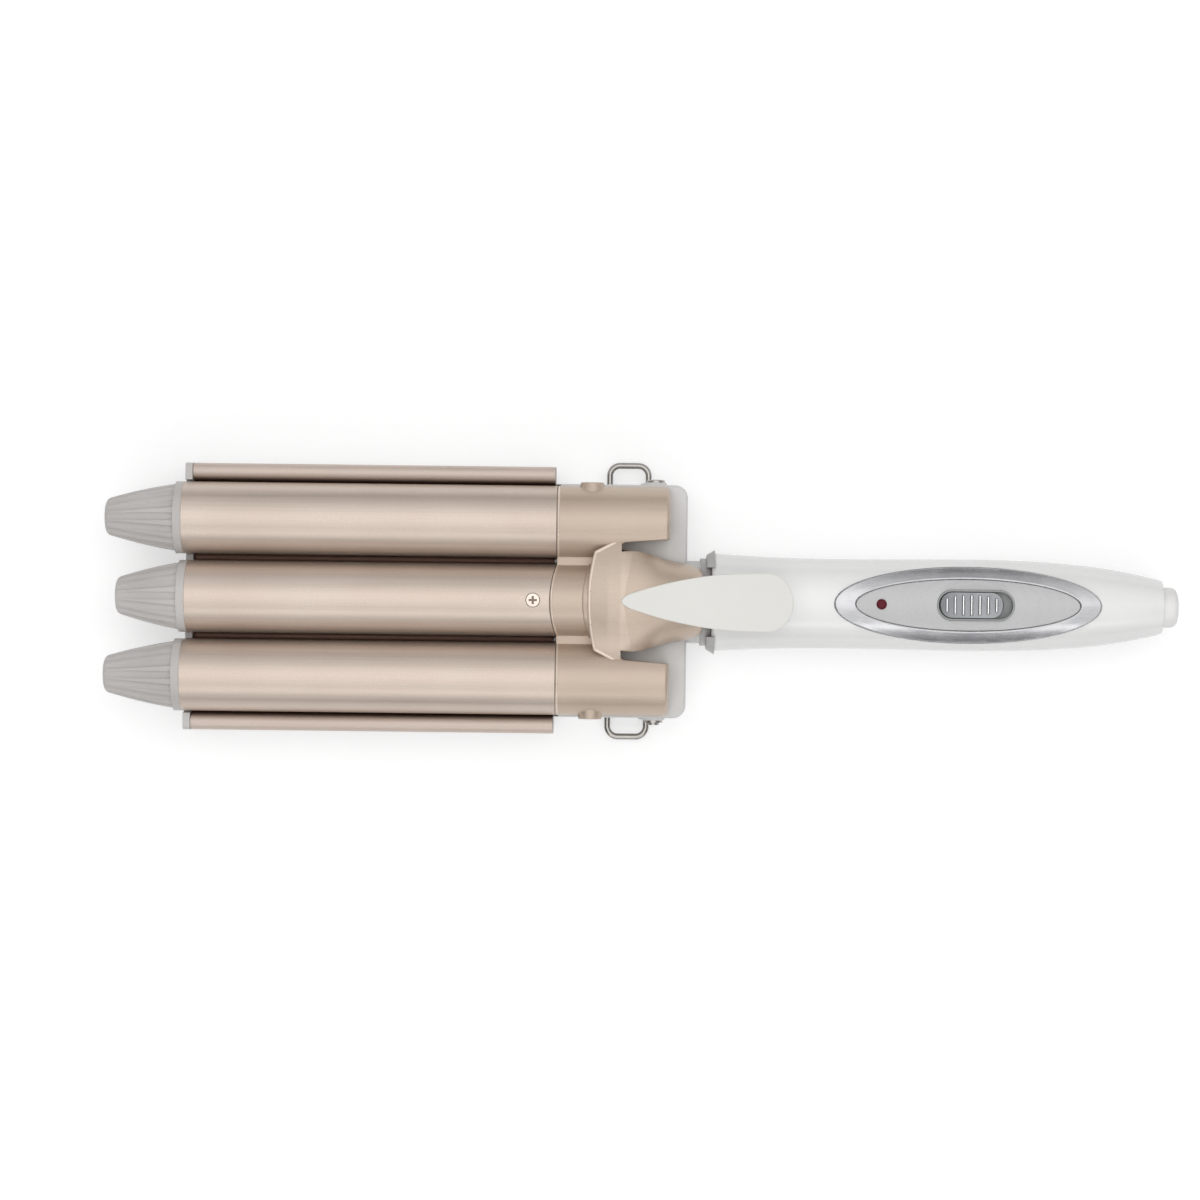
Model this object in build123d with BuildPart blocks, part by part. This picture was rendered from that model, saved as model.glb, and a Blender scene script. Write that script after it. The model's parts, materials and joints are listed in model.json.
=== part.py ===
from build123d import *

import os
from math import asin, atan2, cos, degrees, hypot, radians, sin, sqrt

os.makedirs("parts", exist_ok=True)

# Triple-barrel hair waver. Millimetres, +Z up, +X from the barrel tips to the cord end of the
# handle, +Y to the right of someone holding it. The origin is under the middle, on the surface
# that the belly rests on. The jaws are closed.

# ---- driving dimensions: barrels and cool tips ----
barrel_diameter = 25.0
barrel_wall = 0.9
barrel_gap = 2.25
barrel_length = 129.3
centre_barrel_setback = 1.4
tip_length = 27.2
centre_tip_length = 24.7
tip_ring = 2.8
tip_shoulder = 0.8
tip_nose_radius = 6.1
tip_bulge = 0.5
tip_nose_round = 2.4
tip_spigot = 8.0
flute_count = 16
flute_radius = 1.4
flute_depth_at_ring = 0.95
flute_depth_at_nose = 0.1
heater_width = 14.0
heater_thickness = 1.9
heater_length = 92.0
heater_setback = 14.0
plug_length = 16.5

# ---- driving dimensions: upper jaw housing and lever ----
housing_wall = 1.8
arm_length = 38.9
arm_corner = 1.5
seam_bow = 2.2
web_rise = 3.0
web_length = 14.0
dome_start = 11.3
dome_length = 39.0
dome_bulge = 4.5
dome_flare = 10.9
dome_flare_start = 13.2
dome_step = 0.4
dome_rise = 3.6
dome_tail_half_width = 10.9
notch_front = 22.3
notch_corner = 1.8
arm_inner_front = 7.1
arm_inner_rear = 5.8
side_boss_setback = 12.0
side_boss_radius = 3.4
side_boss_rise = 1.15
side_boss_taper = 15.0
carrier_thickness = 2.0
ear_thickness = 4.0
ear_radius = 4.2
ear_inset = 7.75
bushing_wall = 0.95
hinge_pin_radius = 2.0
hinge_setback = 34.1
opening_angle = 10.0
lever_front = 22.2
lever_length = 58.7
lever_half_width = 10.0
lever_nose_radius = 1.0
lever_thickness = 2.6
lever_rise = 4.2
lever_rib_half_width = 2.9

# ---- driving dimensions: wave plate and lower jaw ----
hair_gap = 1.2
sheet = 1.0
ridge_radius = 3.0
roll_radius = 2.8
flange_rise = 0.3
flange_leg = 2.0
saddle_web = 1.5
saddle_width = 10.0
bar_thickness = 1.6
bar_width = 8.0
bar_length = 84.0
insulation_thickness = 2.2
tray_floor = 2.0
tray_wall = 2.6
tray_corner = 5.0
front_corner = 2.0
tray_front_wall = 2.5
tray_notch = 4.0
tray_bulkhead = 3.0
lower_wall = 2.2
deck_thickness = 1.8
deck_drop = 2.0
lower_length = 45.2
lower_front_wall = 3.2
lower_corner = 4.5
lower_overhang = 0.8
pivot_boss_radius = 4.5
pivot_boss_rise = 1.7
pivot_boss_taper = 25.0
belly_thickness = 2.2

# ---- driving dimensions: counter stand ----
stand_wire = 2.2
stand_reach = 13.6
stand_pivot_height = 4.0
stand_setback = 31.7
stand_bend = 3.6
stand_overhang = 1.4

# ---- driving dimensions: neck, handle and controls ----
neck_length = 8.5
neck_half_width = 14.4
neck_height = 18.0
collar_length = 3.4
collar_rise = 0.9
lip_setback = 1.6
lip_overlap = 1.2
lip_flare = 1.0
lip_wall = 0.7
lip_opening = 12.0
handle_length = 157.0
handle_front_half_width = 17.2
handle_front_half_height = 14.8
handle_waist = 34.0
handle_waist_half_width = 15.7
handle_waist_half_height = 13.6
handle_panel_half_width = 16.0
handle_panel_half_height = 13.8
handle_taper = 24.0
handle_taper_half_width = 13.9
handle_taper_half_height = 12.6
handle_tail_half_width = 9.4
handle_tail_half_height = 9.0
handle_wall = 2.0
handle_lip_round = 1.4
bezel_length = 92.2
bezel_width = 26.2
bezel_rear_gap = 22.5
bezel_seat_depth = 1.0
bezel_proud = 0.9
panel_length = 77.3
panel_width = 17.6
panel_proud = 0.2
slot_length = 26.8
slot_width = 10.6
slot_offset = 2.6
track_wall = 0.6
track_depth = 3.2
track_floor = 1.0
knob_proud = 0.9
knob_travel = 3.0
knob_hollow_radius = 52.0
ridge_count = 7
ridge_pitch = 2.85
ridge_length = 6.4
ridge_height = 0.5
led_radius = 1.75
led_offset = 29.9
board_length = 74.0
board_width = 17.0
board_thickness = 1.6
switch_length = 16.0
switch_width = 8.0
switch_height = 5.0
actuator_side = 3.0
lead_radius = 0.8
spigot_length = 8.0
neck_round = 7.5
handle_screw_front = 21.0
handle_screw_rear = 24.0
handle_screw_seat_z = 5.5
gland_length = 5.6
gland_radius = 7.0
gland_neck_radius = 5.2
cord_hole_radius = 3.4

# ---- fasteners ----
screw_radius = 1.25
screw_head_radius = 2.3
screw_head_height = 1.3
post_radius = 3.2

# ---- named clearances ----
running = 0.05
seat = 0.05
joint_gap = 0.15
hand_gap = 0.3
swing_gap = 0.5

# ---- stations along X ----
handle_overall = neck_length + handle_length + gland_length
overall_length = tip_length + barrel_length + lower_length + handle_overall
tip_front_x = -overall_length / 2
barrel_front_x = tip_front_x + tip_length
housing_x = barrel_front_x + barrel_length
hinge_x = housing_x + hinge_setback
arm_rear_x = housing_x + arm_length
lower_front_x = housing_x - 0.8
lower_rear_x = housing_x + lower_length
handle_x = lower_rear_x + neck_length
handle_rear_x = handle_x + handle_length
panel_x = handle_rear_x - bezel_rear_gap - bezel_length / 2
plate_front_x = barrel_front_x + tray_front_wall + joint_gap
plate_rear_x = lower_front_x - joint_gap
stand_x = housing_x + stand_setback
lever_x = housing_x + lever_front

# ---- heights and half-widths that follow ----
barrel_radius = barrel_diameter / 2
bore_radius = barrel_radius - barrel_wall
pitch = barrel_diameter + barrel_gap
jaw_half_width = pitch + barrel_radius
trough_radius = barrel_radius + hair_gap
trough_bottom_z = tray_floor + insulation_thickness + bar_thickness + saddle_web
axis_z = trough_bottom_z + sheet + trough_radius
deck_z = axis_z - deck_drop
seam_z = axis_z - 0.6
carrier_z = seam_z - 0.5
hinge_z = deck_z - pivot_boss_radius - 0.1
handle_z = handle_front_half_height + 0.2
neck_z = deck_z - 0.8 - neck_height / 2
ridge_drop = sqrt((trough_radius + ridge_radius) ** 2 - (pitch / 2) ** 2)
ridge_angle = degrees(atan2(ridge_drop, pitch / 2))
roll_z = axis_z + flange_rise - roll_radius
roll_angle = degrees(asin((axis_z - roll_z) / (trough_radius + roll_radius)))
roll_y = pitch + (trough_radius + roll_radius) * cos(radians(roll_angle))
tray_half_width = roll_y + roll_radius
tray_inner_y = tray_half_width - tray_wall
barrels = {"left": -1, "centre": 0, "right": 1}


def across(x):
    """Plane square to the length at x, drawn in Y and Z."""
    return Plane.YZ.offset(x)


def cylinder_hole(x, y, z, direction, radius, depth):
    """Round hole from a point along a direction, cut from the part being built."""
    with Locations(Plane(origin=(x, y, z), z_dir=direction)):
        Cylinder(radius, depth, align=(Align.CENTER, Align.CENTER, Align.MIN), mode=Mode.SUBTRACT)


def cylinder_boss(x, y, z, direction, radius, length):
    """Round boss or shank from a point along a direction, added to the part being built."""
    with Locations(Plane(origin=(x, y, z), z_dir=direction)):
        Cylinder(radius, length, align=(Align.CENTER, Align.CENTER, Align.MIN))


def block(x_range, y_range, z_range, mode=Mode.ADD):
    """Rectangular block given by its limits."""
    low = (x_range[0], y_range[0], z_range[0])
    size = (x_range[1] - low[0], y_range[1] - low[1], z_range[1] - low[2])
    with Locations(low):
        Box(*size, align=(Align.MIN, Align.MIN, Align.MIN), mode=mode)


def cross_screw(
    x, y, z, direction, shank_length, head_radius=screw_head_radius, shank_radius=screw_radius
):
    """Pan-head cross screw whose head seats at a point; direction runs from head to shank."""
    with Locations(Plane(origin=(x, y, z), z_dir=direction)):
        Cylinder(shank_radius, shank_length, align=(Align.CENTER, Align.CENTER, Align.MIN))
        Cylinder(head_radius, screw_head_height, align=(Align.CENTER, Align.CENTER, Align.MAX))
        with Locations((0, 0, -screw_head_height)):
            for turn in (0, 90):
                Box(
                    head_radius * 1.2,
                    head_radius * 0.3,
                    screw_head_height * 0.6,
                    rotation=(0, 0, turn),
                    align=(Align.CENTER, Align.CENTER, Align.MIN),
                    mode=Mode.SUBTRACT,
                )


# =====================================================================================
# Upper jaw: barrels, cool tips and heaters
# =====================================================================================
seam_radius = (barrel_radius**2 + seam_bow**2) / (2 * seam_bow)
seam_centre_x = housing_x - seam_bow + seam_radius
barrel_screw_x = housing_x - seam_bow - 5.8

for side, turn in barrels.items():
    axis_y = turn * pitch
    front_x = barrel_front_x + (centre_barrel_setback if turn == 0 else 0)
    length = tip_length if turn else centre_tip_length
    screw_way = -1 if turn else 1
    centre_line = Axis((front_x, axis_y, axis_z), (1, 0, 0))

    with BuildPart() as barrel:
        with BuildSketch(across(front_x)):
            with Locations((axis_y, axis_z)):
                Circle(barrel_radius)
                Circle(bore_radius, mode=Mode.SUBTRACT)
        extrude(amount=housing_x - joint_gap - front_x)
        if turn == 0:
            with BuildSketch(Plane.XY):
                with Locations((seam_centre_x, 0)):
                    Circle(seam_radius + joint_gap)
            extrude(amount=2 * axis_z, mode=Mode.SUBTRACT)
        cylinder_hole(
            barrel_screw_x,
            axis_y,
            axis_z,
            (0, 0, screw_way),
            screw_head_radius + joint_gap,
            barrel_diameter,
        )
    barrel.part.label = f"barrel_{side}"
    export_step(barrel.part, f"parts/barrel_{side}.step")

    # The tip is a hollow fluted cone: a ring flush with the barrel, then a blunt rounded nose.
    nose_x = front_x - length
    with BuildPart() as cool_tip:
        with BuildSketch(Plane.XY.offset(axis_z)) as tip_outline:
            with BuildLine():
                shoulder_radius = barrel_radius - tip_shoulder
                shoulder = (front_x - tip_ring, axis_y + shoulder_radius)
                nose_edge = (nose_x, axis_y + tip_nose_radius)
                mid_x = (front_x - tip_ring + nose_x) / 2
                mid_radius = (shoulder_radius + tip_nose_radius) / 2 + tip_bulge
                Polyline(
                    nose_edge,
                    (nose_x, axis_y),
                    (front_x + tip_spigot, axis_y),
                    (front_x + tip_spigot, axis_y + bore_radius - seat),
                    (front_x, axis_y + bore_radius - seat),
                    (front_x, axis_y + barrel_radius),
                    (front_x - tip_ring, axis_y + barrel_radius),
                    shoulder,
                )
                ThreePointArc(shoulder, (mid_x, axis_y + mid_radius), nose_edge)
            make_face()
            nose_corner = tip_outline.vertices().sort_by(Axis.X)[0:2].sort_by(Axis.Y)[-1]
            fillet(nose_corner, tip_nose_round)
        revolve(axis=centre_line)
        cone_length = length - tip_ring
        flute_axis_rear = shoulder_radius + flute_radius - flute_depth_at_ring
        flute_axis_front = tip_nose_radius + flute_radius - flute_depth_at_nose
        flute_tilt = degrees(atan2(flute_axis_rear - flute_axis_front, cone_length))
        ring_origin = (front_x - tip_ring, axis_y, axis_z)
        ring_face = Plane(origin=ring_origin, x_dir=(0, 1, 0), z_dir=(-1, 0, 0))
        with Locations(ring_face):
            with PolarLocations(flute_axis_rear, flute_count):
                Cylinder(
                    flute_radius,
                    cone_length * 1.2,
                    rotation=(0, -flute_tilt, 0),
                    align=(Align.CENTER, Align.CENTER, Align.MIN),
                    mode=Mode.SUBTRACT,
                )
        cylinder_hole(
            front_x + tip_spigot, axis_y, axis_z, (-1, 0, 0), tip_nose_radius - 0.5, tip_spigot + length / 2
        )
    cool_tip.part.label = f"cool_tip_{side}"
    export_step(cool_tip.part, f"parts/cool_tip_{side}.step")

    heater_x = front_x + heater_setback
    with BuildPart() as heater:
        block(
            (heater_x, heater_x + heater_length),
            (axis_y - heater_width / 2, axis_y + heater_width / 2),
            (axis_z - heater_thickness / 2, axis_z + heater_thickness / 2),
        )
    heater.part.label = f"heater_{side}"
    export_step(heater.part, f"parts/heater_{side}.step")

    # Two half-round extrusions squeeze the heater and carry its heat to the barrel.
    with BuildPart() as heat_spreader:
        with BuildSketch(across(heater_x)):
            with Locations((axis_y, axis_z)):
                Circle(bore_radius - seat)
                Rectangle(2 * barrel_radius, heater_thickness + 2 * seat, mode=Mode.SUBTRACT)
            with Locations((axis_y, axis_z + bore_radius / 2), (axis_y, axis_z - bore_radius / 2)):
                Circle(bore_radius / 4, mode=Mode.SUBTRACT)
        extrude(amount=heater_length)
    heat_spreader.part.label = f"heat_spreader_{side}"
    export_step(heat_spreader.part, f"parts/heat_spreader_{side}.step")


# =====================================================================================
# Upper jaw: champagne housing
# =====================================================================================
dome_x = housing_x + dome_start
dome_rear_x = dome_x + dome_length
dome_bow_centre_x = dome_x - seam_bow + seam_radius
notch_x = housing_x + notch_front


def dome_sections(shrink, front_trim, rear_trim):
    """Bulb over the hinge: ellipses that flare out of the middle barrel and narrow to the tail."""
    front_x = dome_x - seam_bow + front_trim
    flare_x = housing_x + dome_flare_start
    flare_mid_x = (flare_x + notch_x) / 2
    stations = (
        (front_x, barrel_radius + dome_step, barrel_radius + dome_step),
        (flare_x, barrel_radius + 0.08 * dome_flare, barrel_radius + 0.3 * dome_rise),
        (flare_mid_x, barrel_radius + 0.54 * dome_flare, barrel_radius + 0.65 * dome_rise),
        (notch_x, barrel_radius + dome_flare, barrel_radius + 0.92 * dome_rise),
        (notch_x + 7.0, barrel_radius + 0.85 * dome_flare, barrel_radius + dome_rise),
        (dome_rear_x - 13.0, barrel_radius + 0.6 * dome_bulge, barrel_radius + 0.86 * dome_rise),
        (dome_rear_x - 5.5, dome_tail_half_width + 2.3, barrel_radius + 0.62 * dome_rise),
        (dome_rear_x - rear_trim, dome_tail_half_width, barrel_radius + 0.25 * dome_rise),
    )
    sections = []
    for x, half_width, half_height in stations:
        with BuildSketch(across(x)) as section:
            with Locations((0, axis_z)):
                Ellipse(half_width - shrink, half_height - shrink)
        sections.append(section.sketch)
    return sections


def notch_outline(way, margin):
    """Slot between the dome and one arm, open to the rear; margin thickens its walls."""
    front = notch_x - margin
    rear = dome_rear_x + 3.0
    inner_front = way * (barrel_radius + dome_bulge - margin)
    inner_rear = way * (dome_tail_half_width - 0.8 - margin)
    outer_front = way * (pitch - arm_inner_front + margin)
    outer_rear = way * (pitch - arm_inner_rear + margin)
    with BuildSketch(Plane.XY) as notch:
        with BuildLine():
            Spline(
                (front, inner_front),
                (notch_x + 7.0, inner_front - way * 0.1),
                (dome_rear_x - 13.0, way * (barrel_radius + 2.2 - margin)),
                (dome_rear_x - 5.5, way * (dome_tail_half_width + 2.2 - margin)),
                (rear, inner_rear),
            )
            Polyline(
                (rear, inner_rear), (rear, outer_rear), (arm_rear_x, outer_rear), (front, outer_front)
            )
            Line((front, outer_front), (front, inner_front))
        make_face()
        fillet(notch.vertices().sort_by_distance((front, outer_front))[0], notch_corner)
    return notch.sketch


def bowed_front(centre_x):
    """Upright cutter that leaves the centre tube with a front edge bowed towards the tips."""
    with BuildSketch(Plane.XY) as cutter:
        with Locations((centre_x - seam_radius + seam_bow, 0)):
            Rectangle(2 * seam_bow, 2 * barrel_radius + 2, align=(Align.MAX, Align.CENTER))
        with Locations((centre_x, 0)):
            Circle(seam_radius, mode=Mode.SUBTRACT)
    return extrude(cutter.sketch, amount=3 * axis_z, mode=Mode.SUBTRACT)


with BuildPart() as dome_outer:
    loft(dome_sections(0, 0, 0))
    bowed_front(dome_bow_centre_x)

with BuildPart() as housing_void:
    for way in (-1, 1):
        with BuildSketch(across(housing_x - 5)):
            with Locations((way * pitch, axis_z)):
                Circle(barrel_radius - housing_wall)
        extrude(amount=5 + arm_length - housing_wall)
    with BuildSketch(across(housing_x - 5)):
        with Locations((0, axis_z)):
            Circle(barrel_radius - housing_wall)
            Rectangle(2 * pitch, 2 * (web_rise - housing_wall))
    extrude(amount=5 + notch_front - housing_wall)
    loft(dome_sections(housing_wall, housing_wall, housing_wall))
    for way in (-1, 1):
        extrude(notch_outline(way, housing_wall), amount=3 * axis_z, mode=Mode.SUBTRACT)

swing = radians(opening_angle)
deck_clear = deck_z - hinge_z + swing_gap
tail_break_x = hinge_x + ((seam_z - hinge_z) * cos(swing) - deck_clear) / sin(swing)


def tail_z(x):
    """Lowest height behind the hinge that still clears the deck when the jaw is open."""
    return hinge_z + (deck_clear + (x - hinge_x) * sin(swing)) / cos(swing)


side_screw_x = housing_x + side_boss_setback
side_screw_z = seam_z + 2.8
side_boss_y = jaw_half_width + side_boss_rise
side_head_radius = 1.9
side_seat_y = side_boss_y - screw_head_height - seat
rib_front_x = lever_x + 9.0

with BuildPart() as upper_housing:
    for way in (-1, 1):
        with BuildSketch(Plane.XY.offset(axis_z)) as arm_outline:
            with Locations((housing_x, way * pitch)):
                Rectangle(arm_length, barrel_radius, align=(Align.MIN, Align.MIN))
            fillet(arm_outline.vertices().group_by(Axis.X)[-1].sort_by(Axis.Y)[-1], arm_corner)
        revolve(axis=Axis((housing_x, way * pitch, axis_z), (1, 0, 0)))
    with BuildSketch(across(housing_x - seam_bow)):
        with Locations((0, axis_z)):
            Circle(barrel_radius)
    extrude(amount=seam_bow + web_length)
    with BuildSketch(across(housing_x)):
        with Locations((0, axis_z)):
            Rectangle(2 * pitch, 2 * web_rise)
    extrude(amount=notch_front)
    add(dome_outer.part)
    bowed_front(seam_centre_x)
    for way in (-1, 1):
        pad_plane = Plane(origin=(0, way * jaw_half_width, 0), x_dir=(1, 0, 0), z_dir=(0, way, 0))
        with BuildSketch(pad_plane.offset(-2 * housing_wall)):
            with Locations((side_screw_x, -way * side_screw_z)):
                Circle(side_boss_radius + housing_wall)
        extrude(amount=2 * housing_wall + side_boss_rise, taper=side_boss_taper)
    with BuildSketch(Plane.XZ):
        with BuildLine():
            Polyline(
                (housing_x - 10, seam_z),
                (tail_break_x, seam_z),
                (dome_rear_x + 5, tail_z(dome_rear_x + 5)),
                (dome_rear_x + 5, -5),
                (housing_x - 10, -5),
                close=True,
            )
        make_face()
    extrude(amount=2 * jaw_half_width, both=True, mode=Mode.SUBTRACT)
    add(housing_void.part, mode=Mode.SUBTRACT)
    for way in (-1, 1):
        extrude(notch_outline(way, 0), amount=3 * axis_z, mode=Mode.SUBTRACT)
        cylinder_hole(
            side_screw_x,
            way * side_boss_y,
            side_screw_z,
            (0, -way, 0),
            screw_radius + joint_gap,
            side_boss_rise + 2 * housing_wall,
        )
        cylinder_hole(
            side_screw_x,
            way * (side_boss_y + 1),
            side_screw_z,
            (0, -way, 0),
            side_head_radius + joint_gap,
            1 + screw_head_height + seat,
        )
    rib_slot = lever_rib_half_width + joint_gap
    block((rib_front_x, dome_rear_x + 1), (-rib_slot, rib_slot), (axis_z, 3 * axis_z), Mode.SUBTRACT)
upper_housing.part.label = "upper_housing"
export_step(upper_housing.part, "parts/upper_housing.step")


# =====================================================================================
# Upper jaw: inner frame, hinge ears, screws
# =====================================================================================
hat_radius = barrel_radius - housing_wall - hand_gap
carrier_top = carrier_z + carrier_thickness
carrier_half_width = jaw_half_width - housing_wall - 1.3
plug_rear_x = housing_x - joint_gap
plate_end_x = housing_x + notch_front - housing_wall - 0.5
ear_y = jaw_half_width - ear_inset
foot_screws_x = (housing_x + notch_front + 0.6, hinge_x - 3.6)
barrel_head_seat = bore_radius - 0.3
lever_head_depth = screw_head_height + seat

with BuildPart() as barrel_carrier:
    for side, turn in barrels.items():
        hat_x = plug_rear_x - (0 if turn else seam_bow)
        with BuildSketch(across(housing_x - plug_length)):
            with Locations((turn * pitch, axis_z)):
                Circle(bore_radius - seat)
        extrude(amount=hat_x - housing_x + plug_length)
        with BuildSketch(across(hat_x)):
            with Locations((turn * pitch, axis_z)):
                Circle(hat_radius)
            with Locations((turn * pitch, carrier_z)):
                Rectangle(2 * pitch, barrel_diameter, align=(Align.CENTER, Align.MAX), mode=Mode.SUBTRACT)
        extrude(amount=18 if turn else 10)
    block((plug_rear_x, plate_end_x), (-carrier_half_width, carrier_half_width), (carrier_z, carrier_top))
    block((plate_end_x, hinge_x), (-barrel_radius + 1.6, barrel_radius - 1.6), (carrier_z, carrier_top))
    strip_inner = pitch - arm_inner_rear + housing_wall + 0.4
    for way in (-1, 1):
        strip = sorted((way * strip_inner, way * carrier_half_width))
        block((plate_end_x, arm_rear_x - housing_wall - 0.6), strip, (carrier_z, carrier_top))
        lug = sorted((way * (carrier_half_width - 6.0), way * carrier_half_width))
        block((side_screw_x - 3.0, side_screw_x + 3.0), lug, (carrier_z, side_screw_z + 2.4))
        ear = sorted((way * (ear_y - ear_thickness / 2), way * (ear_y + ear_thickness / 2)))
        block((hinge_x - ear_radius, arm_rear_x - housing_wall - 0.6), ear, (hinge_z, carrier_top))
        cylinder_boss(hinge_x, ear[0], hinge_z, (0, 1, 0), ear_radius, ear_thickness)
        bushing_seat = hinge_pin_radius + running + bushing_wall + seat
        cylinder_hole(hinge_x, ear[0] - 1, hinge_z, (0, 1, 0), bushing_seat, ear_thickness + 2)
        cylinder_hole(side_screw_x, way * side_boss_y, side_screw_z, (0, -way, 0), screw_radius + seat, 8.2)
    for x in foot_screws_x:
        cylinder_hole(x, 0, carrier_z - 1, (0, 0, 1), screw_radius + joint_gap, 5)
        cylinder_hole(x, 0, carrier_z - 1, (0, 0, 1), screw_head_radius + joint_gap, 1 + lever_head_depth)
    for side, turn in barrels.items():
        up = -1 if turn else 1
        head_z = axis_z + up * barrel_head_seat
        cylinder_hole(barrel_screw_x, turn * pitch, head_z, (0, 0, up), screw_head_radius + joint_gap, 3)
        cylinder_hole(barrel_screw_x, turn * pitch, head_z + up, (0, 0, -up), screw_radius + seat, 8.2)
barrel_carrier.part.label = "barrel_carrier"
export_step(barrel_carrier.part, "parts/barrel_carrier.step")

with BuildPart() as barrel_screws:
    for side, turn in barrels.items():
        up = -1 if turn else 1
        cross_screw(barrel_screw_x, turn * pitch, axis_z + up * barrel_head_seat, (0, 0, -up), 6.8)
barrel_screws.part.label = "barrel_screws"
export_step(barrel_screws.part, "parts/barrel_screws.step")

with BuildPart() as housing_screws:
    for way in (-1, 1):
        seat_y = way * side_seat_y
        cross_screw(side_screw_x, seat_y, side_screw_z, (0, -way, 0), 6.6, head_radius=side_head_radius)
housing_screws.part.label = "housing_screws"
export_step(housing_screws.part, "parts/housing_screws.step")

with BuildPart() as hinge_bushings:
    for way in (-1, 1):
        with Locations(Plane(origin=(hinge_x, way * ear_y, hinge_z), z_dir=(0, 1, 0))):
            Cylinder(hinge_pin_radius + running + bushing_wall, ear_thickness)
            Cylinder(hinge_pin_radius + running, ear_thickness, mode=Mode.SUBTRACT)
hinge_bushings.part.label = "hinge_bushings"
export_step(hinge_bushings.part, "parts/hinge_bushings.step")


# =====================================================================================
# Upper jaw: thumb lever
# =====================================================================================
lever_rear_x = lever_x + lever_length
lever_front_z = axis_z + barrel_radius + dome_rise + 0.3
lever_rear_z = lever_front_z + lever_rise
lever_end_length = 8.8

with BuildPart() as thumb_lever:
    with BuildSketch(Plane.XZ):
        with BuildLine():
            Spline(
                (lever_x, lever_front_z),
                (lever_x + 0.45 * lever_length, lever_front_z + 0.22 * lever_rise),
                (lever_rear_x, lever_rear_z),
            )
            Line((lever_rear_x, lever_rear_z), (lever_rear_x, lever_rear_z - lever_thickness))
            Spline(
                (lever_rear_x, lever_rear_z - lever_thickness),
                (lever_x + 0.45 * lever_length, lever_front_z + 0.22 * lever_rise - lever_thickness),
                (lever_x, lever_front_z - lever_thickness),
            )
            Line((lever_x, lever_front_z - lever_thickness), (lever_x, lever_front_z))
        make_face()
    extrude(amount=lever_half_width + 2, both=True)
    with BuildSketch(Plane.XY) as leaf:
        end_x = lever_rear_x - lever_end_length
        with BuildLine():
            for way in (-1, 1):
                Spline(
                    (lever_x, 0),
                    (lever_x + 1.4, way * 0.16 * lever_half_width),
                    (lever_x + 4.8, way * 0.31 * lever_half_width),
                    (lever_x + 12.0, way * 0.53 * lever_half_width),
                    (lever_x + 19.4, way * 0.71 * lever_half_width),
                    (lever_x + 28.0, way * 0.87 * lever_half_width),
                    (lever_x + 38.0, way * 0.97 * lever_half_width),
                    (end_x, way * lever_half_width),
                )
            EllipticalCenterArc(
                (end_x, 0), lever_end_length, lever_half_width, start_angle=-90, arc_size=180
            )
        make_face()
        fillet(leaf.vertices().sort_by(Axis.X)[0], lever_nose_radius)
    extrude(amount=3 * axis_z, mode=Mode.INTERSECT)
    add(dome_outer.part, mode=Mode.SUBTRACT)
    foot_z = carrier_top + seat
    foot_top = foot_z + 5.0
    foot_rear_x = hinge_x + 2.0
    rib_half = lever_rib_half_width
    with BuildSketch(Plane.XZ):
        with BuildLine():
            Polyline(
                (rib_front_x + joint_gap, foot_z),
                (hinge_x + 10.5, foot_z),
                (hinge_x + 14.5, lever_front_z - 6.0),
                (lever_rear_x - 9.0, lever_front_z + 0.6 * lever_rise - lever_thickness),
                (lever_rear_x - 9.0, lever_front_z + 0.6 * lever_rise - 1.0),
                (rib_front_x + joint_gap, lever_front_z - 0.6),
                close=True,
            )
        make_face()
    extrude(amount=rib_half, both=True)
    foot_half = dome_tail_half_width - housing_wall - 3.0
    block((foot_screws_x[0] - 3.5, foot_rear_x), (-foot_half, foot_half), (foot_z, foot_top))
    for x in foot_screws_x:
        cylinder_hole(x, 0, foot_z - 1, (0, 0, 1), screw_radius + seat, 5.5)
thumb_lever.part.label = "thumb_lever"
export_step(thumb_lever.part, "parts/thumb_lever.step")

with BuildPart() as lever_screws:
    for x in foot_screws_x:
        cross_screw(x, 0, carrier_z + lever_head_depth, (0, 0, 1), 4.6)
lever_screws.part.label = "lever_screws"
export_step(lever_screws.part, "parts/lever_screws.step")


# =====================================================================================
# Lower jaw: wave plate, tray and what lies between them
# =====================================================================================
ridge_y = pitch / 2
ridge_z = axis_z - ridge_drop
stud_radius = ridge_radius - sheet - 0.05
stud_foot_z = tray_floor + 6.0
stud_top_z = ridge_z + 0.72 * ridge_radius
tray_top_z = roll_z - 0.2
flange_foot_z = roll_z - flange_leg
flange_inner_y = roll_y + roll_radius - sheet
bulkhead_x = lower_front_x - tray_bulkhead
bar_x = (plate_front_x + bulkhead_x) / 2
bar_z = tray_floor + insulation_thickness
lead_z = bar_z + bar_thickness / 2
lead_hole_radius = 2 * lead_radius + hand_gap + 0.1
plate_screw_spots = [
    (x, way * ridge_y) for x in (plate_front_x + 16.0, plate_rear_x - 22.0) for way in (-1, 1)
]


def wave_arcs(depth):
    """Arcs of the wave at a depth below its upper face: troughs, ridges and rolled flanges."""
    trough = trough_radius + depth
    ridge = ridge_radius - depth
    roll = roll_radius - depth
    arcs = [CenterArc((0, axis_z), trough, 180 + ridge_angle, 180 - 2 * ridge_angle)]
    for way in (-1, 1):
        right = way > 0
        crest = CenterArc((way * ridge_y, ridge_z), ridge, ridge_angle, 180 - 2 * ridge_angle)
        sweep_size = 180 - ridge_angle - roll_angle
        trough_start = 180 + ridge_angle if right else 180 + roll_angle
        outer_trough = CenterArc((way * pitch, axis_z), trough, trough_start, sweep_size)
        lip = CenterArc((way * roll_y, roll_z), roll, 0 if right else roll_angle, 180 - roll_angle)
        foot = Line((way * (roll_y + roll), roll_z), (way * (roll_y + roll), flange_foot_z))
        arcs += [crest, outer_trough, lip, foot]
    return arcs


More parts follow.
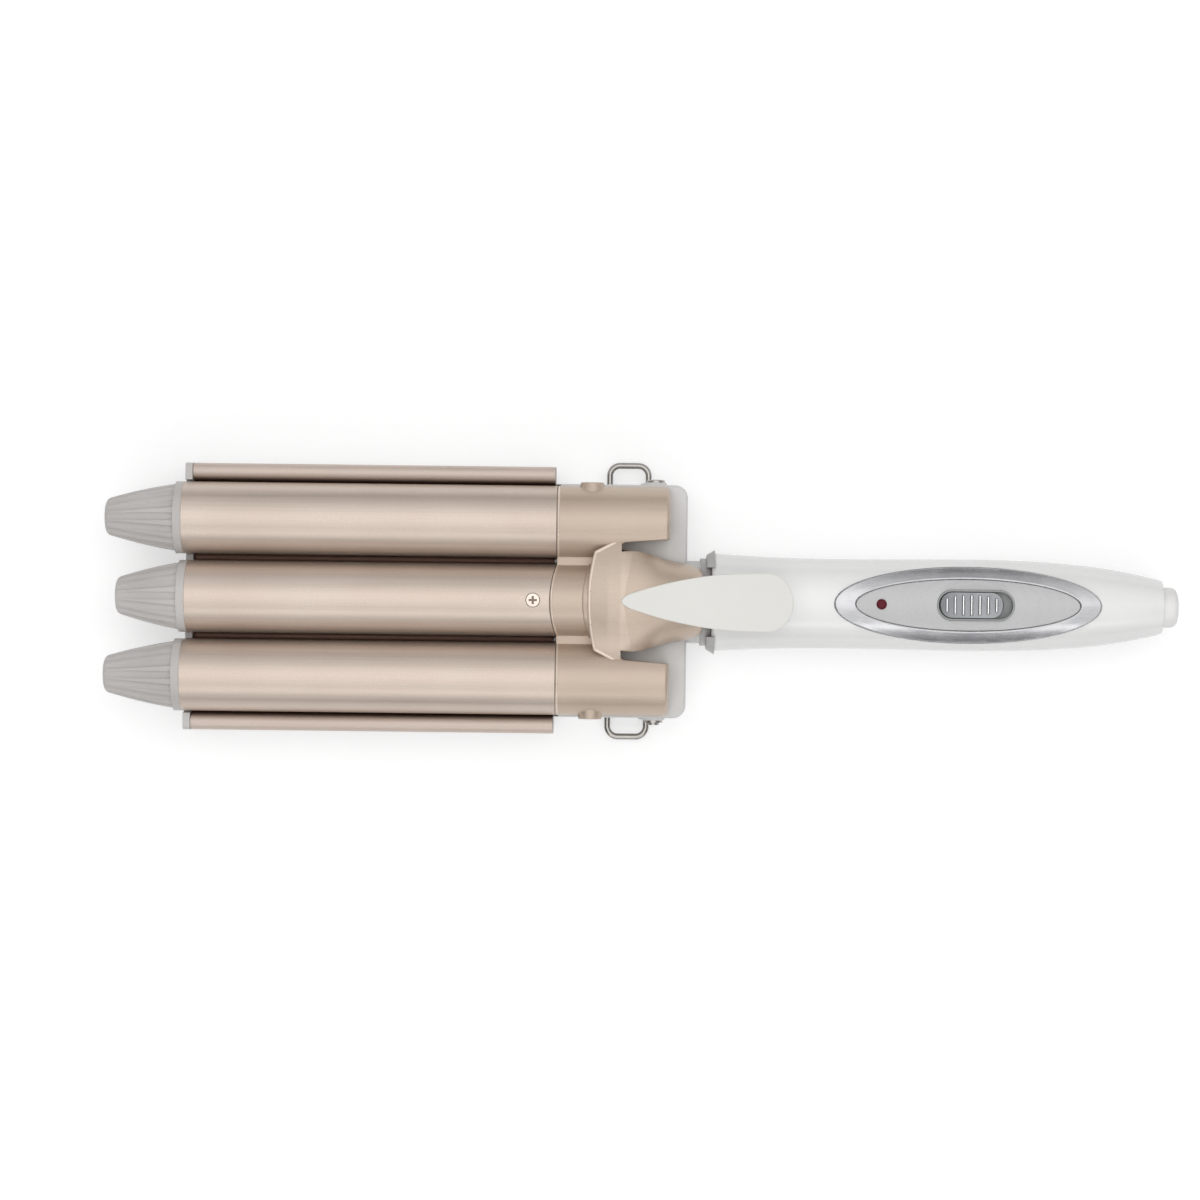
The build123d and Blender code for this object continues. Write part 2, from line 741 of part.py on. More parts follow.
with BuildPart() as wave_plate:
    with BuildSketch(across(plate_front_x)):
        with BuildLine():
            add(wave_arcs(0))
            add(wave_arcs(sheet))
            for way in (-1, 1):
                Line((way * tray_half_width, flange_foot_z), (way * flange_inner_y, flange_foot_z))
        make_face()
    extrude(amount=plate_rear_x - plate_front_x)
    for x, y in plate_screw_spots:
        cylinder_boss(x, y, stud_foot_z, (0, 0, 1), stud_radius, stud_top_z - stud_foot_z)
        cylinder_hole(x, y, stud_foot_z - 1, (0, 0, 1), screw_radius + seat, 5.5)
wave_plate.part.label = "wave_plate"
export_step(wave_plate.part, "parts/wave_plate.step")

# The rolled edges of the plate hook over the tray's side walls; the front wall covers their ends.
with BuildPart() as lower_tray:
    front_top_z = roll_z + roll_radius
    hollow_x = barrel_front_x + tray_front_wall
    with BuildSketch(across(barrel_front_x)) as tray_section:
        Rectangle(2 * tray_half_width, front_top_z, align=(Align.CENTER, Align.MIN))
        fillet(tray_section.vertices().group_by(Axis.Y)[0], tray_corner)
        fillet(tray_section.vertices().group_by(Axis.Y)[-1], front_corner)
    extrude(amount=lower_front_x - barrel_front_x)
    with BuildSketch(across(hollow_x)) as tray_hollow:
        with Locations((0, tray_floor)):
            Rectangle(2 * tray_inner_y, 2 * front_top_z, align=(Align.CENTER, Align.MIN))
        fillet(tray_hollow.vertices().group_by(Axis.Y)[0], tray_corner - tray_wall)
    extrude(amount=lower_front_x - barrel_front_x, mode=Mode.SUBTRACT)
    past_y = tray_half_width + 1
    behind = (hollow_x, lower_front_x + 1)
    block(behind, (-past_y, past_y), (tray_top_z, front_top_z + 1), Mode.SUBTRACT)
    for way in (-1, 1):
        rebate = sorted((way * (flange_inner_y - seat), way * past_y))
        block(behind, rebate, (flange_foot_z - joint_gap, front_top_z + 1), Mode.SUBTRACT)
    with BuildSketch(across(barrel_front_x - 1)):
        with Locations(*[(turn * pitch, axis_z) for turn in barrels.values()]):
            Circle(barrel_radius + 0.6 * hair_gap)
        with Locations((0, axis_z - tray_notch)):
            Rectangle(2 * pitch, axis_z, align=(Align.CENTER, Align.MIN))
    extrude(amount=tray_front_wall + 2, mode=Mode.SUBTRACT)
    with BuildSketch(across(bulkhead_x)):
        with BuildLine():
            add(wave_arcs(sheet + seat))
            edge_y = flange_inner_y - seat
            sole_z = tray_floor / 2
            Polyline(
                (-edge_y, flange_foot_z), (-edge_y, sole_z), (edge_y, sole_z), (edge_y, flange_foot_z)
            )
        make_face()
    extrude(amount=tray_bulkhead)
    for x, y in plate_screw_spots:
        cylinder_boss(x, y, tray_floor / 2, (0, 0, 1), post_radius, stud_foot_z - tray_floor / 2)
        cylinder_hole(x, y, -1, (0, 0, 1), screw_radius + joint_gap, stud_foot_z + 2)
        cylinder_hole(x, y, -1, (0, 0, 1), screw_head_radius + joint_gap, 1 + screw_head_height + 0.3)
    tray_screw_y = pitch / 2 + 7.0
    tray_screw_z = 5.4
    rear_face_x = lower_front_x + 1
    for way in (-1, 1):
        screw_y = way * tray_screw_y
        cylinder_hole(rear_face_x, screw_y, tray_screw_z, (-1, 0, 0), screw_radius + seat, 5)
    cylinder_hole(rear_face_x, 0, lead_z, (-1, 0, 0), lead_hole_radius, 5)
lower_tray.part.label = "lower_tray"
export_step(lower_tray.part, "parts/lower_tray.step")

with BuildPart() as plate_screws:
    for x, y in plate_screw_spots:
        cross_screw(x, y, screw_head_height + 0.3, (0, 0, 1), stud_foot_z + 2.6)
plate_screws.part.label = "plate_screws"
export_step(plate_screws.part, "parts/plate_screws.step")

with BuildPart() as tray_screws:
    for way in (-1, 1):
        head_x = lower_front_x + lower_front_wall
        cross_screw(head_x, way * tray_screw_y, tray_screw_z, (-1, 0, 0), 6.0)
tray_screws.part.label = "tray_screws"
export_step(tray_screws.part, "parts/tray_screws.step")

with BuildPart() as insulation_sheet:
    block(
        (plate_front_x + 1, bulkhead_x - 1),
        (-tray_half_width + tray_corner + 1, tray_half_width - tray_corner - 1),
        (tray_floor, tray_floor + insulation_thickness),
    )
    for x, y in plate_screw_spots:
        cylinder_hole(x, y, 0, (0, 0, 1), post_radius + hand_gap, tray_floor + insulation_thickness + 1)
insulation_sheet.part.label = "insulation_sheet"
export_step(insulation_sheet.part, "parts/insulation_sheet.step")

with BuildPart() as plate_heaters:
    for turn in barrels.values():
        block(
            (bar_x - bar_length / 2, bar_x + bar_length / 2),
            (turn * pitch - bar_width / 2, turn * pitch + bar_width / 2),
            (bar_z, bar_z + bar_thickness),
        )
plate_heaters.part.label = "plate_heaters"
export_step(plate_heaters.part, "parts/plate_heaters.step")

# Each saddle is flat underneath, on its heater, and hollowed to the trough above it.
saddle_z = bar_z + bar_thickness
with BuildPart() as heat_saddles:
    with BuildSketch(across(bar_x - bar_length / 2)):
        for turn in barrels.values():
            with Locations((turn * pitch, saddle_z)):
                Rectangle(saddle_width, saddle_web + 1.4, align=(Align.CENTER, Align.MIN))
            with Locations((turn * pitch, axis_z)):
                Circle(trough_radius + sheet + seat, mode=Mode.SUBTRACT)
    extrude(amount=bar_length)
heat_saddles.part.label = "heat_saddles"
export_step(heat_saddles.part, "parts/heat_saddles.step")


# =====================================================================================
# Lower jaw: hinge housing, belly cover, hinge pin and spring
# =====================================================================================
boss_face_y = jaw_half_width + pivot_boss_rise
lower_half_width = jaw_half_width + lower_overhang
inner_wall_y = lower_half_width - lower_wall
ear_inner_y = ear_y - ear_thickness / 2
stand_radius = stand_wire / 2
bush_radius = stand_radius + running + 0.9
groove_top = stand_pivot_height + stand_radius + hand_gap
groove_swing = stand_reach * (1 - cos(asin(groove_top / stand_reach)))
groove_front_x = stand_x - stand_reach - stand_radius - hand_gap
groove_rear_x = stand_x - stand_reach + stand_radius + hand_gap + groove_swing
spring_coil_radius = hinge_pin_radius + 1.4
spring_wire_radius = 0.6
spring_half_length = 4.2
spring_bay_length = 14.0
spring_bay_margin = 1.4
groove_wall = 1.6
cover_spots = [(lower_rear_x - 5.2, way * (ear_inner_y - 6.0)) for way in (-1, 1)]
cover_spots += [(lower_front_x + lower_front_wall + 4.0, way * (inner_wall_y - 4.5)) for way in (-1, 1)]
cover_head_z = screw_head_height + 0.3
cover_post_length = deck_z - deck_thickness / 2 - belly_thickness
pin_hole_depth = jaw_half_width / 2
spigot_half_width = neck_half_width - 3.4
spigot_height = neck_height - 5.0

with BuildPart() as lower_housing:
    with BuildSketch(Plane.XY) as plan:
        with Locations((lower_front_x, 0)):
            plan_length = lower_rear_x - lower_front_x
            Rectangle(plan_length, 2 * lower_half_width, align=(Align.MIN, Align.CENTER))
        fillet(plan.vertices().group_by(Axis.X)[-1], lower_corner)
    extrude(amount=deck_z)
    rim = lower_housing.faces().sort_by(Axis.Z)[-1].edges()
    fillet(rim.sort_by(Axis.X)[1:], 1.2)
    for way in (-1, 1):
        side_y = way * (lower_half_width - 1)
        with BuildSketch(Plane(origin=(0, side_y, 0), x_dir=(1, 0, 0), z_dir=(0, way, 0))):
            with Locations((hinge_x, -way * hinge_z)):
                Circle(pivot_boss_radius)
            with Locations((stand_x, -way * stand_pivot_height)):
                Circle(stand_pivot_height - 0.5)
            make_hull()
        extrude(amount=1 + boss_face_y - lower_half_width, taper=pivot_boss_taper)
    with BuildSketch(across(lower_rear_x - 1)):
        with Locations((0, neck_z)):
            RectangleRounded(2 * neck_half_width, neck_height, neck_round)
    extrude(amount=1 + neck_length)
    with BuildSketch(across(handle_x)):
        with Locations((0, neck_z)):
            RectangleRounded(2 * spigot_half_width, spigot_height, neck_round - 1.5)
    extrude(amount=spigot_length)
    rim_x = handle_x + handle_wall + joint_gap
    rim_half_width = spigot_half_width + 1.8
    block((rim_x, rim_x + 2.0), (-rim_half_width, rim_half_width), (neck_z - 1.5, neck_z + 4.8))
    block(
        (lower_front_x + lower_front_wall, lower_rear_x - lower_wall),
        (-inner_wall_y, inner_wall_y),
        (-1, deck_z - deck_thickness),
        Mode.SUBTRACT,
    )
    with BuildSketch(across(lower_rear_x - lower_wall - 1)):
        with Locations((0, neck_z)):
            RectangleRounded(2 * (spigot_half_width - 2.4), spigot_height - 5.0, 3.0)
    extrude(amount=lower_wall + 2 + neck_length + spigot_length, mode=Mode.SUBTRACT)
    for way in (-1, 1):
        tube_y = ear_y + ear_thickness / 2 + hand_gap
        tube_length = inner_wall_y - tube_y
        cylinder_boss(hinge_x, way * tube_y, hinge_z, (0, way, 0), pivot_boss_radius, tube_length)
    for x, y in cover_spots:
        cylinder_boss(x, y, belly_thickness, (0, 0, 1), post_radius, cover_post_length)
    block(
        (lower_rear_x - lower_wall - 4.0, lower_rear_x - lower_wall / 2),
        (-neck_half_width, neck_half_width),
        (0, belly_thickness),
        Mode.SUBTRACT,
    )
    for x, y in cover_spots:
        cylinder_hole(x, y, 0, (0, 0, 1), screw_radius + seat, belly_thickness + 8.0)
    for way in (-1, 1):
        outside_y = way * (boss_face_y + 1)
        inwards = (0, -way, 0)
        cylinder_hole(hinge_x, outside_y, hinge_z, inwards, hinge_pin_radius + seat, pin_hole_depth)
        cylinder_hole(stand_x, outside_y, stand_pivot_height, inwards, bush_radius + seat, lower_wall + 4)
        slot = sorted((way * (ear_inner_y - swing_gap), way * (ear_y + ear_thickness / 2 + swing_gap)))
        block(
            (hinge_x - ear_radius - 0.4, hinge_x + ear_radius + 0.4),
            slot,
            (deck_z - deck_thickness - 1, deck_z + 1),
            Mode.SUBTRACT,
        )
        screw_y = way * tray_screw_y
        cylinder_hole(lower_front_x - 1, screw_y, tray_screw_z, (1, 0, 0), screw_radius + joint_gap, 6)
    block(
        (hinge_x - spring_bay_length, hinge_x + spring_coil_radius + spring_bay_margin),
        (-spring_half_length - 1.0, spring_half_length + 1.0),
        (deck_z - deck_thickness - 1, deck_z + 1),
        Mode.SUBTRACT,
    )
    with BuildSketch(across(lower_front_x - 1)):
        with Locations(*[(turn * pitch, axis_z) for turn in barrels.values()]):
            Circle(barrel_radius + 0.6 * hair_gap)
    extrude(amount=housing_x + 0.9 - lower_front_x + 1, mode=Mode.SUBTRACT)
    cylinder_hole(lower_front_x - 1, 0, lead_z, (1, 0, 0), lead_hole_radius, 6)
    block((groove_front_x, groove_rear_x), (-2 * pitch, 2 * pitch), (-1, groove_top), Mode.SUBTRACT)
lower_housing.part.label = "lower_housing"
export_step(lower_housing.part, "parts/lower_housing.step")

with BuildPart() as belly_cover:
    cover_half = inner_wall_y - joint_gap
    cover_front_x = lower_front_x + lower_front_wall + joint_gap
    cover_rear_x = lower_rear_x - lower_wall - joint_gap
    block((cover_front_x, cover_rear_x), (-cover_half, cover_half), (0, belly_thickness))
    hump = (groove_front_x - groove_wall, groove_rear_x + groove_wall)
    block(hump, (-cover_half, cover_half), (0, groove_top + groove_wall))
    block((groove_front_x, groove_rear_x), (-2 * pitch, 2 * pitch), (-1, groove_top), Mode.SUBTRACT)
    for x, y in cover_spots:
        cylinder_hole(x, y, -1, (0, 0, 1), screw_radius + joint_gap, 10)
        cylinder_hole(x, y, -1, (0, 0, 1), screw_head_radius + joint_gap, 1 + cover_head_z)
belly_cover.part.label = "belly_cover"
export_step(belly_cover.part, "parts/belly_cover.step")

with BuildPart() as cover_screws:
    for x, y in cover_spots:
        cross_screw(x, y, cover_head_z, (0, 0, 1), 7.5)
cover_screws.part.label = "cover_screws"
export_step(cover_screws.part, "parts/cover_screws.step")

pin_head_radius = hinge_pin_radius + 1.2
pin_head_length = 1.0
with BuildPart() as hinge_pin:
    cylinder_boss(hinge_x, -boss_face_y - 1.6, hinge_z, (0, 1, 0), hinge_pin_radius, 2 * boss_face_y + 1.6)
    cylinder_boss(hinge_x, boss_face_y, hinge_z, (0, 1, 0), pin_head_radius, pin_head_length)
    fillet(hinge_pin.edges().filter_by(GeomType.CIRCLE).sort_by(Axis.Y)[-1], 0.5)
hinge_pin.part.label = "hinge_pin"
export_step(hinge_pin.part, "parts/hinge_pin.step")

with BuildPart() as pin_retainer:
    with Locations(Plane(origin=(hinge_x, -boss_face_y, hinge_z), z_dir=(0, -1, 0))):
        Cylinder(pin_head_radius, 0.8, align=(Align.CENTER, Align.CENTER, Align.MIN))
        Cylinder(hinge_pin_radius + seat, 4, mode=Mode.SUBTRACT)
pin_retainer.part.label = "pin_retainer"
export_step(pin_retainer.part, "parts/pin_retainer.step")

# The spring is one wire: a straight leg that lifts under the frame, turns round the pin, and a
# straight leg that lies on the belly cover. Both legs leave the turns along their tangents.
spring_reach = 13.0
spring_turns = 5.5
spring_length = 2 * (spring_half_length - spring_wire_radius - 0.2)
upper_rise = carrier_z - spring_wire_radius - 0.1 - hinge_z
lower_drop = hinge_z - (groove_top + 1.6 + spring_wire_radius + 0.1)


def leg_slope(height):
    """Angle to the level of a leg that leaves the turns and ends that far above or below the pin."""
    return atan2(height, spring_reach) - asin(spring_coil_radius / hypot(height, spring_reach))


upper_slope = leg_slope(upper_rise)
wound_turns = spring_turns - degrees(upper_slope + leg_slope(lower_drop)) / 360
spring_plane = Plane(
    origin=(hinge_x, -spring_length / 2, hinge_z),
    x_dir=(sin(upper_slope), 0, cos(upper_slope)),
    z_dir=(0, 1, 0),
)
coil = spring_plane * Helix(spring_length / wound_turns, spring_length, spring_coil_radius)
upper_leg = sqrt(upper_rise**2 + spring_reach**2 - spring_coil_radius**2)
lower_leg = sqrt(lower_drop**2 + spring_reach**2 - spring_coil_radius**2)
upper_end = (coil @ 0) - (coil % 0) * upper_leg
lower_end = (coil @ 1) + (coil % 1) * lower_leg
spring_line = Wire([Line(upper_end, coil @ 0).edge(), coil.edge(), Line(coil @ 1, lower_end).edge()])
with BuildPart() as jaw_spring:
    with BuildSketch(Plane(upper_end, z_dir=coil % 0)):
        Circle(spring_wire_radius)
    sweep(path=spring_line)
jaw_spring.part.label = "jaw_spring"
export_step(jaw_spring.part, "parts/jaw_spring.step")


# =====================================================================================
# Counter stand: a bent wire that folds into a groove across the belly
# =====================================================================================
stand_outer_y = tray_half_width + stand_overhang
stand_end_y = inner_wall_y - 0.4
with BuildPart() as counter_stand:
    with BuildLine(Plane.XY.offset(stand_pivot_height)) as stand_path:
        FilletPolyline(
            (stand_x, -stand_end_y),
            (stand_x, -stand_outer_y),
            (stand_x - stand_reach, -stand_outer_y),
            (stand_x - stand_reach, stand_outer_y),
            (stand_x, stand_outer_y),
            (stand_x, stand_end_y),
            radius=stand_bend,
        )
    with BuildSketch(Plane(stand_path.line @ 0, z_dir=stand_path.line % 0)):
        Circle(stand_radius)
    sweep(path=stand_path.line)
counter_stand.part.label = "counter_stand"
export_step(counter_stand.part, "parts/counter_stand.step")

with BuildPart() as stand_bushings:
    for way in (-1, 1):
        bush_length = boss_face_y - inner_wall_y
        with Locations(Plane(origin=(stand_x, way * inner_wall_y, stand_pivot_height), z_dir=(0, way, 0))):
            Cylinder(bush_radius, bush_length, align=(Align.CENTER, Align.CENTER, Align.MIN))
            Cylinder(stand_radius + running, 3 * bush_length, mode=Mode.SUBTRACT)
stand_bushings.part.label = "stand_bushings"
export_step(stand_bushings.part, "parts/stand_bushings.step")

lip_front_x = handle_x - lip_setback
lip_rear_x = handle_x + lip_overlap
lip_slope = (lip_flare + lip_wall) / (lip_rear_x - lip_front_x)


def lip_oval(x, inset):
    """Oval of the flared lip at a station, drawn in by inset."""
    grow = lip_slope * (x - lip_front_x) - lip_wall - inset
    with BuildSketch(across(x)) as oval:
        with Locations((0, handle_z)):
            Ellipse(handle_front_half_width + grow, handle_front_half_height + grow)
    return oval.sketch


# A thin lip flares out of the collar on both sides, over the front edge of the handle.
with BuildPart() as guard_lip:
    loft([lip_oval(lip_front_x, 0), lip_oval(lip_rear_x, 0)])
    hollow_ends = (handle_x - joint_gap, lip_rear_x + 1)
    loft([lip_oval(x, lip_wall) for x in hollow_ends], mode=Mode.SUBTRACT)
    with BuildSketch(across(lip_front_x - 1)):
        with Locations((0, neck_z)):
            RectangleRounded(2 * (neck_half_width + seat), neck_height + 2 * seat, neck_round)
    extrude(amount=1 + lip_setback + lip_overlap, mode=Mode.SUBTRACT)
    lip_span = (lip_front_x - 1, lip_rear_x + 1)
    block(lip_span, (-lip_opening, lip_opening), (neck_z, 3 * handle_z), Mode.SUBTRACT)
    block(lip_span, (-2 * lip_opening, 2 * lip_opening), (-handle_z, seat), Mode.SUBTRACT)
with BuildPart() as guard_collar:
    with BuildSketch(across(handle_x - collar_length - joint_gap)):
        with Locations((0, neck_z)):
            collar_height = neck_height + 2 * collar_rise - 0.2
            RectangleRounded(2 * (neck_half_width + collar_rise), collar_height, neck_round + collar_rise)
            neck_fit = (2 * (neck_half_width + seat), neck_height + 2 * seat)
            RectangleRounded(*neck_fit, neck_round, mode=Mode.SUBTRACT)
    extrude(amount=collar_length)
    add(guard_lip.part)
guard_collar.part.label = "guard_collar"
export_step(guard_collar.part, "parts/guard_collar.step")


# =====================================================================================
# Handle: two shells with the control panel let into the upper one
# =====================================================================================
def handle_sections(shrink):
    """Ovals along the handle, drawn in from its skin by shrink; the ends move in as well."""
    stations = [
        (0.0, handle_front_half_width, handle_front_half_height),
        (handle_waist, handle_waist_half_width, handle_waist_half_height),
        (panel_x - handle_x, handle_panel_half_width, handle_panel_half_height),
        (handle_length - handle_taper, handle_taper_half_width, handle_taper_half_height),
        (handle_length, handle_tail_half_width, handle_tail_half_height),
    ]
    end_inset = max(shrink, 0.0)
    ovals = []
    for offset, half_width, half_height in stations:
        station_x = handle_x + min(max(offset, end_inset), handle_length - end_inset)
        with BuildSketch(across(station_x)) as oval:
            with Locations((0, handle_z)):
                Ellipse(half_width - shrink, half_height - shrink)
        ovals.append(oval.sketch)
    return ovals


def panel_oval(length, width, grow):
    """Long oval about the middle of the panel, made larger all round by grow."""
    with BuildSketch(Plane.XY) as oval:
        with Locations((panel_x, 0)):
            Ellipse(length / 2 + grow, width / 2 + grow)
    return oval.sketch


def stadium(x, z, length, width, height, mode=Mode.ADD):
    """Upright prism with round ends, standing on height z."""
    with BuildSketch(Plane.XY.offset(z)) as slot:
        with Locations((x, 0)):
            SlotOverall(length, width)
    return extrude(slot.sketch, amount=height, mode=mode)


skin_z = handle_z + handle_panel_half_height
panel_top_z = skin_z + panel_proud
slot_x = panel_x + slot_offset
track_floor_z = panel_top_z - track_depth
led_x = panel_x - led_offset
board_z = handle_z - 1.0
board_top_z = board_z + board_thickness
board_front_x = panel_x - board_length / 2 + 1.0
board_spots = [board_front_x + 16.0, board_front_x + board_length - 5.0]
handle_spots = [handle_x + handle_screw_front, handle_rear_x - handle_screw_rear]
handle_post = post_radius + 0.8
cavity_top = 2 * handle_z
tail_bore = gland_neck_radius + running

with BuildPart() as handle_solid:
    loft(handle_sections(0.0))
    fillet(handle_solid.faces().sort_by(Axis.X)[0].edges(), handle_lip_round)
with BuildPart() as handle_cavity:
    loft(handle_sections(handle_wall))
    for x in handle_spots:
        with Locations((x, 0, handle_z)):
            Cylinder(handle_post, 2 * handle_z, mode=Mode.SUBTRACT)
    for x in board_spots:
        with Locations((x, 0, 0)):
            Cylinder(post_radius, board_z, align=(Align.CENTER, Align.CENTER, Align.MIN), mode=Mode.SUBTRACT)
with BuildPart() as bezel_floor:
    loft(handle_sections(bezel_seat_depth + seat))
with BuildPart() as bezel_pocket:
    extrude(panel_oval(bezel_length, bezel_width, joint_gap), amount=3 * handle_z)
    add(bezel_floor.part, mode=Mode.SUBTRACT)
    block((panel_x - bezel_length, panel_x + bezel_length), (-20, 20), (-1, handle_z), Mode.SUBTRACT)
with BuildPart() as spigot_hole:
    with BuildSketch(across(handle_x - 1)):
        with Locations((0, neck_z)):
            RectangleRounded(2 * (spigot_half_width + seat), spigot_height + 2 * seat, neck_round - 1.5)
    extrude(amount=1 + spigot_length + hand_gap)

with BuildPart() as handle_top_shell:
    add(handle_solid.part)
    add(handle_cavity.part, mode=Mode.SUBTRACT)
    add(bezel_pocket.part, mode=Mode.SUBTRACT)
    add(spigot_hole.part, mode=Mode.SUBTRACT)
    split(bisect_by=Plane.XY.offset(handle_z), keep=Keep.TOP)
    for x in handle_spots:
        cylinder_hole(x, 0, handle_z - 1, (0, 0, 1), screw_radius + seat, 9.0)
    track_room = (slot_length + 2 * hand_gap, slot_width + 2 * hand_gap)
    stadium(slot_x, handle_z, *track_room, cavity_top, Mode.SUBTRACT)
    cylinder_hole(led_x, 0, handle_z, (0, 0, 1), led_radius + hand_gap, cavity_top)
    cylinder_hole(handle_rear_x - 4, 0, handle_z, (1, 0, 0), tail_bore, 6)
handle_top_shell.part.label = "handle_top_shell"
export_step(handle_top_shell.part, "parts/handle_top_shell.step")

with BuildPart() as handle_bottom_shell:
    add(handle_solid.part)
    add(handle_cavity.part, mode=Mode.SUBTRACT)
    add(spigot_hole.part, mode=Mode.SUBTRACT)
    split(bisect_by=Plane.XY.offset(handle_z), keep=Keep.BOTTOM)
    for x in handle_spots:
        cylinder_hole(x, 0, 0, (0, 0, 1), screw_radius + joint_gap, handle_z + 1)
        cylinder_hole(x, 0, -1, (0, 0, 1), screw_head_radius + joint_gap, handle_screw_seat_z + 1)
    for x in board_spots:
        cylinder_hole(x, 0, board_z - 7.0, (0, 0, 1), screw_radius + seat, 8.0)
    cylinder_hole(handle_rear_x - 4, 0, handle_z, (1, 0, 0), tail_bore, 6)
handle_bottom_shell.part.label = "handle_bottom_shell"
export_step(handle_bottom_shell.part, "parts/handle_bottom_shell.step")

with BuildPart() as handle_screws:
    for x in handle_spots:
        cross_screw(x, 0, handle_screw_seat_z, (0, 0, 1), handle_z + 7.5 - handle_screw_seat_z)
handle_screws.part.label = "handle_screws"
export_step(handle_screws.part, "parts/handle_screws.step")

with BuildPart() as bezel_seat_solid:
    loft(handle_sections(bezel_seat_depth))
with BuildPart() as bezel_ring:
    loft(handle_sections(-bezel_proud))
    extrude(panel_oval(bezel_length, bezel_width, 0), amount=3 * handle_z, mode=Mode.INTERSECT)
    add(bezel_seat_solid.part, mode=Mode.SUBTRACT)
    panel_hole = panel_oval(panel_length, panel_width, joint_gap)
    extrude(panel_hole, amount=3 * handle_z, mode=Mode.SUBTRACT)
    split(bisect_by=Plane.XY.offset(handle_z), keep=Keep.TOP)
    fillet(bezel_ring.faces().sort_by(Axis.Z)[-1].edges(), 0.4)
bezel_ring.part.label = "bezel_ring"
export_step(bezel_ring.part, "parts/bezel_ring.step")

with BuildPart() as switch_panel:
    loft(handle_sections(-panel_proud))
    extrude(panel_oval(panel_length, panel_width, 0), amount=3 * handle_z, mode=Mode.INTERSECT)
    add(bezel_seat_solid.part, mode=Mode.SUBTRACT)
    split(bisect_by=Plane.XY.offset(handle_z), keep=Keep.TOP)
    stadium(slot_x, handle_z, slot_length + 2 * seat, slot_width + 2 * seat, cavity_top, Mode.SUBTRACT)
    cylinder_hole(led_x, 0, handle_z, (0, 0, 1), led_radius + seat, cavity_top)
switch_panel.part.label = "switch_panel"
export_step(switch_panel.part, "parts/switch_panel.step")

stem_side = actuator_side + 2.4
stem_slot = stem_side + knob_travel + 2 * hand_gap
knob_width = slot_width - 2 * track_wall - 2 * hand_gap
knob_length = slot_length - 2 * track_wall - knob_travel - 2 * hand_gap
knob_x = slot_x - knob_travel / 2
with BuildPart() as slide_track:
    stadium(slot_x, track_floor_z - track_floor, slot_length, slot_width, track_depth + track_floor)
    ear_z = skin_z - handle_wall - seat - 1.0
    ear_reach = slot_length / 2 + 3.0
    block((slot_x - ear_reach, slot_x + ear_reach), (-2.0, 2.0), (ear_z - 0.4, ear_z + 0.6))
    inner_length = slot_length - 2 * track_wall
    inner_width = slot_width - 2 * track_wall
    stadium(slot_x, track_floor_z, inner_length, inner_width, track_depth + 1, Mode.SUBTRACT)
    block(
        (slot_x - stem_slot / 2, slot_x + stem_slot / 2),
        (-stem_side / 2 - hand_gap, stem_side / 2 + hand_gap),
        (track_floor_z - track_floor - 1, track_floor_z + 1),
        Mode.SUBTRACT,
    )
slide_track.part.label = "slide_track"
export_step(slide_track.part, "parts/slide_track.step")

# Thumb slide: a plate in the track, a hollowed thumb rest with ridges and a socket for the switch post.
knob_foot_z = track_floor_z + running
knob_top_z = panel_top_z + knob_proud
stem_foot_z = track_floor_z - track_floor - 2.0
hollow_z = knob_top_z + knob_hollow_radius - 1.1
with BuildPart() as slide_knob:
    stadium(knob_x, knob_foot_z, knob_length, knob_width, knob_top_z - knob_foot_z)
    fillet(slide_knob.faces().sort_by(Axis.Z)[-1].edges(), 0.5)
    with Locations(Plane(origin=(knob_x, -knob_width, hollow_z), z_dir=(0, 1, 0))):
        Cylinder(knob_hollow_radius, 4 * knob_width, mode=Mode.SUBTRACT)
    for step in range(ridge_count):
        from_middle = (step - (ridge_count - 1) / 2) * ridge_pitch
        rest_z = hollow_z - sqrt(knob_hollow_radius**2 - from_middle**2)
        half_ridge = ridge_length / 2 * sqrt(1 - (2 * from_middle / knob_length) ** 2)
        with Locations(Plane(origin=(knob_x + from_middle, 0, rest_z), z_dir=(0, 1, 0))):
            Cylinder(ridge_height, 2 * half_ridge)
            with Locations((0, 0, half_ridge), (0, 0, -half_ridge)):
                Sphere(ridge_height)
    block(
        (knob_x - stem_side / 2, knob_x + stem_side / 2),
        (-stem_side / 2, stem_side / 2),
        (stem_foot_z, knob_foot_z + 0.5),
    )
    socket = actuator_side / 2 + seat
    socket_x = (knob_x - socket, knob_x + socket)
    block(socket_x, (-socket, socket), (stem_foot_z - 1, knob_foot_z + 0.6), Mode.SUBTRACT)
slide_knob.part.label = "slide_knob"
export_step(slide_knob.part, "parts/slide_knob.step")

with BuildPart() as switch_actuator:
    foot_z = board_top_z + 1.0 + running
    block((knob_x - 3.0, knob_x + 3.0), (-2.5, 2.5), (foot_z, foot_z + 2.0))
    half_side = actuator_side / 2
    block((knob_x - half_side, knob_x + half_side), (-half_side, half_side), (foot_z, knob_foot_z + 0.4))
switch_actuator.part.label = "switch_actuator"
export_step(switch_actuator.part, "parts/switch_actuator.step")

